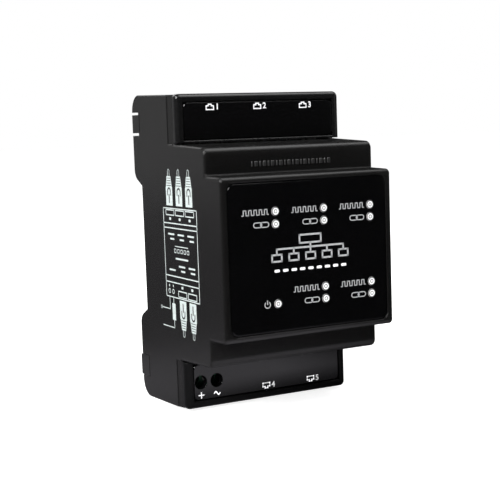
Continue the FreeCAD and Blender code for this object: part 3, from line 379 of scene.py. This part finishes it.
# The lower cover looks at the bright floor; it is the same plastic as the upper one, given a darker colour as
# painted shade and a duller finish.
LOWER_COVER_PAINTED_SHADE = moulded("lower_cover_moulding_painted_shade", (0.004, 0.004, 0.0042), 0.35, soften=0.6, specular=0.15)
GLOSS = glossy("gloss_black", (0.002, 0.002, 0.0022))
# The light pipes' ends glow a little: painted light that keeps them white.
LENS = ink("light_pipe_white", (0.9, 0.9, 0.9), roughness=0.25, glow=0.4)
LENS_RING = ink("light_pipe_ring", (0.3, 0.3, 0.3), roughness=0.4)
# A dark ring at the edge of each light pipe's end: painted shade, drawn with the ink material.
LENS_RIM_SHADE = ink("light_pipe_rim_shade", (0.012, 0.012, 0.012), roughness=0.3)
# The label and side inks glow a little: painted light that keeps them pale.
LABEL = ink("label_grey", (0.5, 0.51, 0.52), glow=0.25)
LABEL_WHITE = ink("label_white", (0.85, 0.85, 0.86), glow=0.6)
SIDE_INK = ink("side_print", (0.6, 0.66, 0.65), glow=0.1)
SIDE_INK_DARK = ink("side_print_gap", (0.01, 0.011, 0.012))
STEEL = metal("zinc_steel", (0.62, 0.62, 0.6), 0.32)
SCREEN = metal("nickel_screen", (0.68, 0.68, 0.66), 0.28)
GOLD = metal("gold_flash", (0.85, 0.62, 0.25), 0.25)
SPRING = metal("spring_steel", (0.5, 0.5, 0.5), 0.3)
BOARD = glossy("solder_mask", (0.01, 0.09, 0.035), 0.3)
JACK = moulded("jack_moulding", (0.014, 0.014, 0.015), 0.45)
TERMINAL = moulded("terminal_moulding", (0.02, 0.1, 0.05), 0.5)
CHIP = moulded("chip_resin", (0.02, 0.02, 0.021), 0.6)
FERRITE = moulded("ferrite", (0.05, 0.05, 0.052), 0.65)
TAPE = glossy("winding_tape", (0.5, 0.36, 0.03), 0.3)
SLEEVE = glossy("capacitor_sleeve", (0.012, 0.016, 0.03), 0.25)
GLASS_TUBE = glossy("fuse_body", (0.55, 0.55, 0.52), 0.15)
VARISTOR = glossy("varistor_coat", (0.02, 0.06, 0.3), 0.35)
LED_BODY = glossy("led_body", (0.75, 0.75, 0.68), 0.3)

NODE_MATERIALS = {
    "main_housing": CASE,
    "rear_base": BASE,
    "rail_clip": BASE,
    "upper_terminal_cover": COVER,
    "lower_terminal_cover": LOWER_COVER_PAINTED_SHADE,
    "upper_face_plate": GLOSS,
    "lower_face_plate": GLOSS,
    "front_panel": GLOSS,
    "clip_spring": SPRING,
    "main_board": BOARD,
    "led_board": BOARD,
    "riser_board": BOARD,
    "indicator_leds": LED_BODY,
    "board_screws": STEEL,
    "terminal_block": TERMINAL,
    "transformer_core": FERRITE,
    "transformer_winding": TAPE,
    "input_capacitor": SLEEVE,
    "output_capacitor": SLEEVE,
    "mains_fuse": GLASS_TUBE,
    "varistor": VARISTOR,
    "bridge_rectifier": CHIP,
    "choke": FERRITE,
    "switch_chip": CHIP,
    "clock_crystal": SCREEN,
    "isolating_modules": CHIP,
    "riser_socket_rear": JACK,
    "riser_socket_front": JACK,
}
# Nodes that come in families, by how their names start.
FAMILY_MATERIALS = {
    "light_pipe_": LENS,
    "jack_shell_": SCREEN,
    "jack_insert_": JACK,
    "jack_contacts_": GOLD,
    "terminal_screw_": STEEL,
    "terminal_cage_": STEEL,
    "terminal_busbar_": GOLD,
}


def material_of(node):
    """The material of a CAD node, by its name or its family."""
    if node in NODE_MATERIALS:
        return NODE_MATERIALS[node]
    for family, material in FAMILY_MATERIALS.items():
        if node.startswith(family):
            return material
    raise KeyError(node)


def dress_nodes():
    """Give every CAD node its material."""
    for name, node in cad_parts.items():
        material = material_of(name)
        if not node.data.materials:
            node.data.materials.append(material)
        for index in range(len(node.material_slots)):
            node.material_slots[index].material = material


# ---------------------------------------------------------------- front panel

# The lights' middles, in the order of their nodes: activity and then link for the upper sockets, the same
# for the lower ones, and the power light last.
LIGHTS = [node_middle(f"light_pipe_{number}") for number in range(1, 12)]
ACTIVITY_LIGHTS = LIGHTS[0:3] + LIGHTS[6:8]
LINK_LIGHTS = LIGHTS[3:6] + LIGHTS[8:10]
POWER_LIGHT = LIGHTS[10]
LIGHT_RADIUS = 1.2
# A label ends this far to the left of its light's middle.
LABEL_GAP = 2.2
LABEL_LINE = 0.27


def pulse_label(x, z):
    """A train of square pulses, for activity, that ends at x."""
    pulses = 5
    pulse = 1.6
    rise = 1.35
    points = [(x - pulses * pulse, z - rise / 2)]
    for index in range(pulses):
        left = x - (pulses - index) * pulse
        points += [(left + pulse / 4, z - rise / 2), (left + pulse / 4, z + rise / 2),
                   (left + pulse * 3 / 4, z + rise / 2), (left + pulse * 3 / 4, z - rise / 2)]
    points.append((x, z - rise / 2))
    return stroke(points, LABEL_LINE)


def link_label(x, z):
    """Two joined loops, for a link, that end at x."""
    loop = 2.5
    height = 1.3
    # How far the second loop's middle is from x, in loops; less than one and a half, so the two overlap.
    second = 1.35
    steps = 16
    pieces = []
    for middle in (x - loop / 2, x - loop * second):
        left = middle - loop / 2 + height / 2
        right = middle + loop / 2 - height / 2
        pieces += stroke([(left, z + height / 2), (right, z + height / 2)], LABEL_LINE)
        pieces += stroke([(left, z - height / 2), (right, z - height / 2)], LABEL_LINE)
        pieces += ring_pieces(right, z, height / 2, LABEL_LINE, steps, start=-0.25, sweep=0.5)
        pieces += ring_pieces(left, z, height / 2, LABEL_LINE, steps, start=0.25, sweep=0.5)
    return pieces


def power_label(x, z):
    """The usual broken ring and bar, for power, that ends at x."""
    radius = 0.85
    bar_foot = 0.15
    bar_top = 1.1
    middle = x - radius - LABEL_LINE
    # The ring is open at its top, for a fifth of a turn.
    pieces = ring_pieces(middle, z, radius, LABEL_LINE, steps=36, start=0.35, sweep=0.8)
    pieces += stroke([(middle, z + bar_foot), (middle, z + bar_top)], LABEL_LINE)
    return pieces


def print_front_labels():
    """The label beside each light."""
    outlines = []
    for x, z in ACTIVITY_LIGHTS:
        outlines += pulse_label(x - LABEL_GAP, z)
    for x, z in LINK_LIGHTS:
        outlines += link_label(x - LABEL_GAP, z)
    x, z = POWER_LIGHT
    outlines += power_label(x - LABEL_GAP, z)
    print_on_front("front_labels", outlines, PANEL["front"], LABEL)


def print_network_sign():
    """A plain network tree in the middle of the panel."""
    line = 0.5
    root_z = 4.4
    root_half_width = 3.4
    root_half_height = 1.1
    bus_z = 2.1
    leaf_z = -0.3
    leaf_half_width = 1.5
    leaf_half_height = 0.9
    leaf_pitch = 5.3
    leaves = [leaf_pitch * place for place in (-2, -1, 0, 1, 2)]
    root_foot = root_z - root_half_height
    leaf_foot = leaf_z - leaf_half_height
    leaf_top = leaf_z + leaf_half_height
    outlines = frame_lines(-root_half_width, root_half_width, root_foot, root_z + root_half_height, line)
    outlines += stroke([(0, root_foot), (0, bus_z)], line)
    outlines += stroke([(leaves[0], bus_z), (leaves[-1], bus_z)], line)
    for x in leaves:
        outlines += stroke([(x, bus_z), (x, leaf_top)], line)
        outlines += frame_lines(x - leaf_half_width, x + leaf_half_width, leaf_foot, leaf_top, line)
    print_on_front("network_sign", outlines, PANEL["front"], LABEL)


def print_dashed_line():
    """A dashed line below the network tree."""
    z = -3.75
    dash = 1.7
    gap = 0.96
    count = 9
    start = -(count * dash + (count - 1) * gap) / 2 + dash / 2
    dashes = [
        rounded_bar(start + index * (dash + gap), z, dash, height=0.75, radius=0.3)
        for index in range(count)
    ]
    print_on_front("network_sign_line", dashes, PANEL["front"], LABEL_WHITE)


def print_light_rings():
    """The faint ring seen in the end of each light pipe, and a dark ring of painted shade round its rim."""
    ring_radius = 0.45
    ring_width = 0.2
    rim_width = 0.24
    # Half as far off the surface as other marks are.
    depth = node_range("light_pipe_1")["front"] - INK / 2
    rings = []
    rims = []
    for x, z in LIGHTS:
        rings += ring_pieces(x, z, ring_radius, ring_width, steps=28)
        rims += ring_pieces(x, z, LIGHT_RADIUS - rim_width / 2, rim_width, steps=36)
    print_on_front("light_rings", rings, depth, LENS_RING)
    print_on_front("light_rim_shades", rims, depth, LENS_RIM_SHADE)


# ------------------------------------------------------------- terminal plates

# The marks' middles are this far from the plates' outer edges.
MARK_INSET = 1.5
UPPER_MARKS = UPPER_PLATE["top"] - MARK_INSET
LOWER_MARKS = LOWER_PLATE["bottom"] + MARK_INSET
NUMERAL_HEIGHT = 1.7
# The built-in font's size for numerals of height 1, and how much their strokes are thickened.
FONT_SIZE = 1.38
NUMERAL_WEIGHT = 0.05
# Where a socket's sign and numeral stand, to the left and right of its middle.
SIGN_SHIFT = 0.9
NUMERAL_SHIFT = 1.45


def numeral(name, text, x, z, depth):
    """A printed numeral about a middle point on a front face."""
    curve = bpy.data.curves.new(name, "FONT")
    curve.body = text
    curve.size = NUMERAL_HEIGHT * MM * FONT_SIZE
    curve.offset = NUMERAL_WEIGHT * MM
    curve.align_x = "CENTER"
    curve.align_y = "CENTER"
    curve.materials.append(LABEL_WHITE)
    piece = bpy.data.objects.new(name, curve)
    bpy.context.scene.collection.objects.link(piece)
    piece.rotation_euler = (math.pi / 2, 0, 0)
    piece.location = Vector((x, -(depth + INK), z)) * MM
    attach(piece, "case")


def socket_icon(x, z, side):
    """A small socket seen end on: a frame with its latch step, upwards for side 1 and downwards for -1."""
    half_width = 1.15
    half_height = 0.75
    half_latch = 0.46
    line = 0.3
    step = 0.45
    foot = z - side * half_height
    crown = z + side * half_height
    shoulder = crown - side * step
    outline = [
        (x - half_width, foot), (x + half_width, foot),
        (x + half_width, shoulder), (x + half_latch, shoulder),
        (x + half_latch, crown), (x - half_latch, crown),
        (x - half_latch, shoulder), (x - half_width, shoulder),
        (x - half_width, foot),
    ]
    return stroke(outline, line)


def print_socket_marks():
    """A socket sign and a numeral at each network socket, along the outer edge of each plate."""
    for number in range(1, 6):
        x, socket_z = node_middle(f"jack_insert_{number}")
        if socket_z > 0:
            side = 1
            z = UPPER_MARKS
            depth = UPPER_PLATE["front"]
        else:
            side = -1
            z = LOWER_MARKS
            depth = LOWER_PLATE["front"]
        sign = socket_icon(x - SIGN_SHIFT, z, side)
        print_on_front(f"socket_mark_{number}", sign, depth, LABEL_WHITE)
        numeral(f"socket_numeral_{number}", str(number), x + NUMERAL_SHIFT, z, depth)


def cross_sign(x, z):
    """A cross about a point."""
    arm = 0.75
    line = 0.35
    return stroke([(x - arm, z), (x + arm, z)], line) + stroke([(x, z - arm), (x, z + arm)], line)


def wave_sign(x, z):
    """One period of a wave about a point."""
    half_length = 0.9
    height = 0.45
    line = 0.32
    steps = 12
    points = [
        (x - half_length + 2 * half_length / steps * step, z + height * math.sin(2 * math.pi * step / steps))
        for step in range(steps + 1)
    ]
    return stroke(points, line)


def print_terminal_marks():
    """A cross and a wave under the two screw holes."""
    outlines = cross_sign(node_middle("terminal_screw_n")[0], LOWER_MARKS)
    outlines += wave_sign(node_middle("terminal_screw_l")[0], LOWER_MARKS)
    print_on_front("terminal_marks", outlines, LOWER_PLATE["front"], LABEL_WHITE)


def raise_bars(name, bars, depth):
    """Low bars moulded on a front face, with sloping sides; each bar is X, Z, width and height."""
    rise = 0.15
    foot_round = 0.25
    crown_round = 0.1
    steps = 3
    vertices = []
    faces = []
    for x, z, width, height in bars:
        foot = rounded_bar(x, z, width, height, foot_round, steps)
        crown = rounded_bar(x, z, width - 2 * rise, height - 2 * rise, crown_round, steps)
        first = len(vertices)
        count = len(foot)
        vertices += [(u, -(depth - INK), v) for u, v in foot]
        vertices += [(u, -(depth + rise), v) for u, v in crown]
        faces.append(list(range(first + count, first + 2 * count)))
        for index in range(count):
            after = (index + 1) % count
            faces.append([first + index, first + after, first + count + after, first + count + index])
    face_outward(mesh_piece(name, vertices, faces, EMBOSS_HIGHLIGHT))


def emboss_middle_line():
    """A faint row of raised bars on the front of the middle level."""
    z = 25.0
    height = 1.5
    lengths = (0.6, 1.1) * 10
    gap = 0.45
    total = sum(lengths) + gap * (len(lengths) - 1)
    x = -total / 2
    bars = []
    for length in lengths:
        bars.append((x + length / 2, z, length, height))
        x += length + gap
    raise_bars("middle_emboss", bars, MIDDLE_FRONT)


# --------------------------------------------------------------- side diagram
# It is laid out in depth and Z, like the wall that it is on.

SIDE_LINE = 0.32
SIGN_LINE = 0.25
WIRE_LINE = 0.3
# The drawn case and the lines across it.
BOX_REAR = 14.9
BOX_FRONT = 36.8
BOX_TOP = 12.8
RULES = (8.55, 7.2, -6.65, -8.5)
# Its columns of sockets; the supply takes the place of the first one's lower socket.
COLUMN_PITCH = 6.45
COLUMNS = [19.4 + COLUMN_PITCH * index for index in range(3)]
# The heights of the dots, and of the bars that stand in place of words.
UPPER_DOTS = 9.85
LOWER_DOTS = -9.55
UPPER_ROWS = (5.45, 4.1)
LOWER_ROWS = (-3.55, -4.85)
# Where the drawn plugs begin, over and under the drawn case.
UPPER_PLUGS = 13.6
LOWER_PLUGS = -13.3


def draw_case_outline():
    """The drawn case: its outline and the double lines under and over its sockets."""
    outlines = frame_lines(BOX_REAR, BOX_FRONT, -BOX_TOP, BOX_TOP, SIDE_LINE)
    for z in RULES:
        outlines += stroke([(BOX_REAR, z), (BOX_FRONT, z)], SIDE_LINE)
    return outlines


def socket_dot(d, z):
    """The dot beside a drawn socket."""
    return rounded_bar(d, z, width=1.3, height=0.75, radius=0.3)


def draw_sockets():
    """A drawn socket and its dot at each end of a column; the first column has two holes at its lower end."""
    half_width = 2.75
    margin = 0.45
    upper_foot = 10.9
    lower_top = -10.7
    holes = (17.15, 19.7)
    hole_z = -11.15
    outlines = []
    for column, d in enumerate(COLUMNS):
        outlines += frame_lines(d - half_width, d + half_width, upper_foot, BOX_TOP - margin, SIDE_LINE)
        outlines.append(socket_dot(d, UPPER_DOTS))
        if column > 0:
            outlines += frame_lines(d - half_width, d + half_width, -BOX_TOP + margin, lower_top, SIDE_LINE)
            outlines.append(socket_dot(d, LOWER_DOTS))
    for d in holes:
        outlines += ring_pieces(d, hole_z, radius=0.6, width=0.26, steps=20)
        outlines.append(rounded_bar(d, LOWER_DOTS, width=0.5, height=0.7, radius=0.1))
    return outlines


def row_bar(d, z, length):
    """A bar in place of a row of words."""
    return rounded_bar(d, z, length, height=0.5, radius=0.2)


def draw_rows():
    """Short bars in place of the rows of words at each drawn socket."""
    long_bar = 4.2
    long_shift = 0.3
    short_bar = 2.8
    short_shift = 0.9
    outlines = []
    for column, d in enumerate(COLUMNS):
        outlines.append(row_bar(d + long_shift, UPPER_ROWS[0], long_bar))
        outlines.append(row_bar(d + short_shift, UPPER_ROWS[1], short_bar))
        if column == 0:
            outlines.append(row_bar(d + long_shift, LOWER_ROWS[1], long_bar))
        else:
            outlines.append(row_bar(d + long_shift, LOWER_ROWS[0], long_bar))
            outlines.append(row_bar(d + short_shift, LOWER_ROWS[1], short_bar))
    return outlines


def draw_middle_sign():
    """Five small boxes between a bar and a line, in the middle of the drawn case."""
    middle = (BOX_REAR + BOX_FRONT) / 2 + 0.4
    half_length = 4.2
    bar_z = -1.4
    line_z = 2.1
    box_pitch = 2.1
    box_half_width = 0.6
    box_bottom = 0.3
    box_top = 1.3
    outlines = [row_bar(middle, bar_z, 2 * half_length)]
    for place in (-2, -1, 0, 1, 2):
        d = middle + place * box_pitch
        outlines += frame_lines(d - box_half_width, d + box_half_width, box_bottom, box_top, SIGN_LINE)
    outlines += stroke([(middle - half_length, line_z), (middle + half_length, line_z)], SIGN_LINE)
    return outlines


def draw_plug(d, start, side):
    """A drawn network plug: body, tapered boot and cord.

    It goes away from the drawn case, upwards for side 1 and downwards for -1.
    """
    body_half = 2.15
    body_end = 5.3
    boot_half = 1.95
    boot_end_half = 1.3
    boot_end = 8.4
    cord_half = 0.55
    cord_bend = 10.0
    cord_end = 10.35
    cord_line = 0.22

    def up(distance):
        return start + side * distance

    body = [
        (d - body_half, up(0)), (d + body_half, up(0)),
        (d + body_half, up(body_end)), (d - body_half, up(body_end)),
    ]
    boot = [
        (d - boot_half, up(body_end)), (d + boot_half, up(body_end)),
        (d + boot_end_half, up(boot_end)), (d - boot_end_half, up(boot_end)),
    ]
    cord = [
        (d - cord_half, up(boot_end)), (d - cord_half, up(cord_bend)), (d, up(cord_end)),
        (d + cord_half, up(cord_bend)), (d + cord_half, up(boot_end)),
    ]
    return [body, boot] + stroke(cord, cord_line)


def draw_plug_gaps(d, start, side):
    """The dark parts drawn in a plug: its latch arch, the slot below it and the ribs of its boot."""
    arch_radius = 1.05
    arch_middle = 3.9
    arch_foot = 3.1
    arch_line = 0.5
    leg_line = 0.45
    slot_foot = 1.0
    slot_top = 3.0
    slot_line = 0.55
    ribs = 4
    first_rib = 5.7
    rib_pitch = 0.7
    rib_half = 1.45
    rib_taper = 0.14
    rib_line = 0.2

    def up(distance):
        return start + side * distance

    arch_start = 0.0 if side > 0 else 0.5
    gaps = ring_pieces(d, up(arch_middle), arch_radius, arch_line, steps=16, start=arch_start, sweep=0.5)
    for leg in (d - arch_radius, d + arch_radius):
        gaps += stroke([(leg, up(arch_middle)), (leg, up(arch_foot))], leg_line)
    gaps += stroke([(d, up(slot_foot)), (d, up(slot_top))], slot_line)
    for index in range(ribs):
        z = up(first_rib + rib_pitch * index)
        half = rib_half - rib_taper * index
        gaps += stroke([(d - half, z), (d + half, z)], rib_line)
    return gaps


def draw_wires():
    """The two drawn supply wires: a plain one with a ring at its end, and one through a fuse."""
    plain_d = 17.0
    plain_foot = -16.5
    plain_end = 11.4
    ring_d = 11.0
    fused_d = 19.6
    fuse_top = -14.6
    fuse_foot = -19.5
    fused_foot = -21.75
    fused_end = 11.8
    outlines = stroke([(plain_d, -BOX_TOP), (plain_d, plain_foot), (plain_end, plain_foot)], WIRE_LINE)
    outlines += ring_pieces(ring_d, plain_foot, radius=0.4, width=0.22, steps=16)
    outlines += stroke([(fused_d, -BOX_TOP), (fused_d, fuse_top)], WIRE_LINE)
    outlines.append(rounded_bar(fused_d, (fuse_top + fuse_foot) / 2, 2.2, fuse_top - fuse_foot, 0.3))
    outlines += stroke([(fused_d, fuse_foot), (fused_d, fused_foot), (fused_end, fused_foot)], WIRE_LINE)
    return outlines


def print_side_diagram():
    """The wiring diagram on the left side wall."""
    place = HOUSING["left"]
    outlines = draw_case_outline() + draw_sockets() + draw_rows() + draw_middle_sign() + draw_wires()
    plugs = []
    for column, d in enumerate(COLUMNS):
        plugs.append((d, UPPER_PLUGS, 1))
        if column > 0:
            plugs.append((d, LOWER_PLUGS, -1))
    gaps = []
    for plug in plugs:
        outlines += draw_plug(*plug)
        gaps += draw_plug_gaps(*plug)
    print_on_left("side_diagram", outlines, place, SIDE_INK)
    # The dark marks lie over the pale ones.
    print_on_left("side_diagram_gaps", gaps, place - INK / 2, SIDE_INK_DARK)


# -------------------------------------------------------- floor, light, camera
# Places and lengths are in metres from here on, as the stage is much larger than the case.

# The paper's colour varies between these.
PAPER_DARK = (0.78, 0.78, 0.78)
PAPER_LIGHT = (0.8, 0.8, 0.8)
# How white the floor is near the case and further out, before the lamps add to it.
FLOOR_NEAR = {"distance": 0.06, "white": 0.87}
FLOOR_FAR = {"distance": 0.3, "white": 1.0}
# The floor that is mirrored in the case: a spot ahead of it, wider than it is deep, and one on its left.
FRONT_SPOT = {"middle": (-0.006, -0.07, 0.0), "start": 0.022, "end": 0.05, "glow": 0.95}
FRONT_SPOT_SQUEEZE = (0.6, 1.0, 0.0)
SIDE_SPOT = {"middle": (-0.06, 0.0, 0.0), "start": 0.03, "end": 0.1, "glow": 0.35}
# The front spot darkens towards the case's foot, and a dim glow rises towards what lies behind.
FOOT_SHADE = {"start": -0.06, "end": -0.038, "least": 0.25}
REAR_GLOW = {"start": -0.05, "end": 0.03, "glow": 0.12}
MIRROR_COLOUR = (0.96, 0.93, 1.0, 1.0)
WORLD_GLOW = 0.03


def join_values(tree, operation, first, second):
    """Two values' sockets joined by one operation."""
    node = add_node(tree, "ShaderNodeMath", operation=operation)
    tree.links.new(first, node.inputs[0])
    tree.links.new(second, node.inputs[1])
    return node.outputs[0]


def glow_spot(tree, place, spot):
    """A round spot of light on the floor that fades from its start to its end."""
    away = add_node(tree, "ShaderNodeVectorMath", operation="DISTANCE")
    tree.links.new(place, away.inputs[0])
    away.inputs[1].default_value = spot["middle"]
    return remap(tree, away.outputs["Value"], spot["start"], spot["end"], spot["glow"], 0.0)


def mirrored_floor(tree, place):
    """The floor as the case mirrors it: a glow that is set by place, in place of the lit paper."""
    squeezed = add_node(tree, "ShaderNodeVectorMath", operation="MULTIPLY")
    tree.links.new(place, squeezed.inputs[0])
    squeezed.inputs[1].default_value = FRONT_SPOT_SQUEEZE
    axes = add_node(tree, "ShaderNodeSeparateXYZ")
    tree.links.new(place, axes.inputs[0])
    depth = axes.outputs["Y"]
    patch = glow_spot(tree, squeezed.outputs["Vector"], FRONT_SPOT)
    foot_shade = remap(tree, depth, FOOT_SHADE["start"], FOOT_SHADE["end"], 1.0, FOOT_SHADE["least"])
    front_glow = join_values(tree, "MULTIPLY", patch, foot_shade)
    rear_glow = remap(tree, depth, REAR_GLOW["start"], REAR_GLOW["end"], 0.0, REAR_GLOW["glow"])
    side_glow = glow_spot(tree, place, SIDE_SPOT)
    glow = join_values(tree, "ADD", join_values(tree, "ADD", front_glow, rear_glow), side_glow)
    emission = add_node(tree, "ShaderNodeEmission")
    set_inputs(emission, Color=MIRROR_COLOUR)
    tree.links.new(glow, emission.inputs["Strength"])
    return emission.outputs[0]


def seen_floor(tree, shader, place, camera_ray):
    """The floor as the camera sees it: lit paper with its shadow, made whiter by a glow."""
    distance = add_node(tree, "ShaderNodeVectorMath", operation="LENGTH")
    tree.links.new(place, distance.inputs[0])
    white = remap(
        tree, distance.outputs["Value"], FLOOR_NEAR["distance"], FLOOR_FAR["distance"],
        FLOOR_NEAR["white"], FLOOR_FAR["white"],
    )
    emission = add_node(tree, "ShaderNodeEmission")
    tree.links.new(join_values(tree, "MULTIPLY", camera_ray, white), emission.inputs["Strength"])
    both = add_node(tree, "ShaderNodeAddShader")
    tree.links.new(shader.outputs[0], both.inputs[0])
    tree.links.new(emission.outputs[0], both.inputs[1])
    return both.outputs[0]


def floor_paper():
    """White paper that keeps the case's shadow; glossy rays see a set glow in its place."""
    material, tree, shader = new_material("floor_paper")
    set_inputs(shader, Roughness=0.9, Specular_IOR_Level=0.0)
    paper = mix_colour(tree, noise(tree, PAPER_SCALE), PAPER_DARK, PAPER_LIGHT)
    tree.links.new(paper, shader.inputs["Base Color"])
    place = add_node(tree, "ShaderNodeTexCoord").outputs["Object"]
    path = add_node(tree, "ShaderNodeLightPath")
    chosen = add_node(tree, "ShaderNodeMixShader")
    tree.links.new(path.outputs["Is Glossy Ray"], chosen.inputs[0])
    tree.links.new(seen_floor(tree, shader, place, path.outputs["Is Camera Ray"]), chosen.inputs[1])
    tree.links.new(mirrored_floor(tree, place), chosen.inputs[2])
    tree.links.new(chosen.outputs[0], tree.nodes["Material Output"].inputs["Surface"])
    return material


def white_stage():
    """A pale floor just under the case."""
    reach = 6.0
    clearance = 0.0001
    level = cad_bounds[0][2] - clearance
    corners = [(-reach, -reach, level), (reach, -reach, level), (reach, reach, level), (-reach, reach, level)]
    floor_mesh = bpy.data.meshes.new("floor")
    floor_mesh.from_pydata(corners, [], [[0, 1, 2, 3]])
    floor = bpy.data.objects.new("floor", floor_mesh)
    bpy.context.scene.collection.objects.link(floor)
    floor_mesh.materials.append(floor_paper())


def white_world():
    """White to the camera, dim to everything else."""
    world = bpy.data.worlds.new("studio")
    bpy.context.scene.world = world
    world.use_nodes = True
    tree = world.node_tree
    tree.nodes.clear()
    path = add_node(tree, "ShaderNodeLightPath")
    white = add_node(tree, "ShaderNodeBackground")
    dim = add_node(tree, "ShaderNodeBackground")
    set_inputs(white, Color=(1, 1, 1, 1), Strength=1.0)
    set_inputs(dim, Color=(1, 1, 1, 1), Strength=WORLD_GLOW)
    mix = add_node(tree, "ShaderNodeMixShader")
    out = add_node(tree, "ShaderNodeOutputWorld")
    tree.links.new(path.outputs["Is Camera Ray"], mix.inputs[0])
    tree.links.new(dim.outputs[0], mix.inputs[1])
    tree.links.new(white.outputs[0], mix.inputs[2])
    tree.links.new(mix.outputs[0], out.inputs["Surface"])


def soft_light(name, place, width, height, power):
    """A rectangular studio light aimed at the middle of the case; its power is in watts."""
    aim = Vector((0, -0.025, 0))
    light = bpy.data.lights.new(name, "AREA")
    light.shape = "RECTANGLE"
    light.size = width
    light.size_y = height
    light.energy = power
    lamp = bpy.data.objects.new(name, light)
    bpy.context.scene.collection.objects.link(lamp)
    lamp.location = place
    lamp.rotation_euler = (aim - Vector(place)).to_track_quat("-Z", "Y").to_euler()


def studio_lights():
    """A wall of light behind on the left for the side to mirror, two lights overhead, and fills."""
    soft_light("rear_left_light", (-0.75, 0.75, 0.1), width=1.0, height=1.0, power=1.1)
    soft_light("top_light", (0.33, -0.18, 0.78), width=0.7, height=0.34, power=2.6)
    soft_light("key_light", (-0.6, -0.3, 0.52), width=0.3, height=0.5, power=10.0)
    soft_light("right_card", (0.92, -0.77, 0.08), width=0.4, height=0.5, power=0.35)
    soft_light("rear_fill", (0.1, 1.1, 0.75), width=0.9, height=0.5, power=4.0)
    soft_light("right_fill", (1.0, 0.35, 0.5), width=0.6, height=0.6, power=1.5)


def photo_camera():
    """The camera at the photograph's angle: low, from the front left, and tilted a little."""
    azimuth = math.radians(28.275)
    elevation = math.radians(6.016)
    roll = math.radians(-1.943)
    distance = 333.944 * MM
    target = Vector((-4.431, -25.0, -0.563)) * MM
    lens = 82.44
    sensor_width = 36.0
    nearest = 0.01
    forward = Vector((
        math.sin(azimuth) * math.cos(elevation),
        math.cos(azimuth) * math.cos(elevation),
        -math.sin(elevation),
    ))
    level = Vector((math.cos(azimuth), -math.sin(azimuth), 0))
    upright = level.cross(forward)
    right = math.cos(roll) * level + math.sin(roll) * upright
    up = -math.sin(roll) * level + math.cos(roll) * upright
    camera = bpy.data.cameras.new("photo_camera")
    camera.lens = lens
    camera.sensor_width = sensor_width
    camera.clip_start = nearest
    holder = bpy.data.objects.new("photo_camera", camera)
    bpy.context.scene.collection.objects.link(holder)
    turn = Matrix((right, up, -forward)).transposed()
    holder.matrix_world = Matrix.Translation(target - forward * distance) @ turn.to_4x4()
    bpy.context.scene.camera = holder


# ---------------------------------------------------------------- the picture

dress_nodes()
print_front_labels()
print_network_sign()
print_dashed_line()
print_light_rings()
print_socket_marks()
print_terminal_marks()
emboss_middle_line()
print_side_diagram()
white_stage()
white_world()
studio_lights()
photo_camera()
bpy.context.scene.view_settings.view_transform = "Standard"
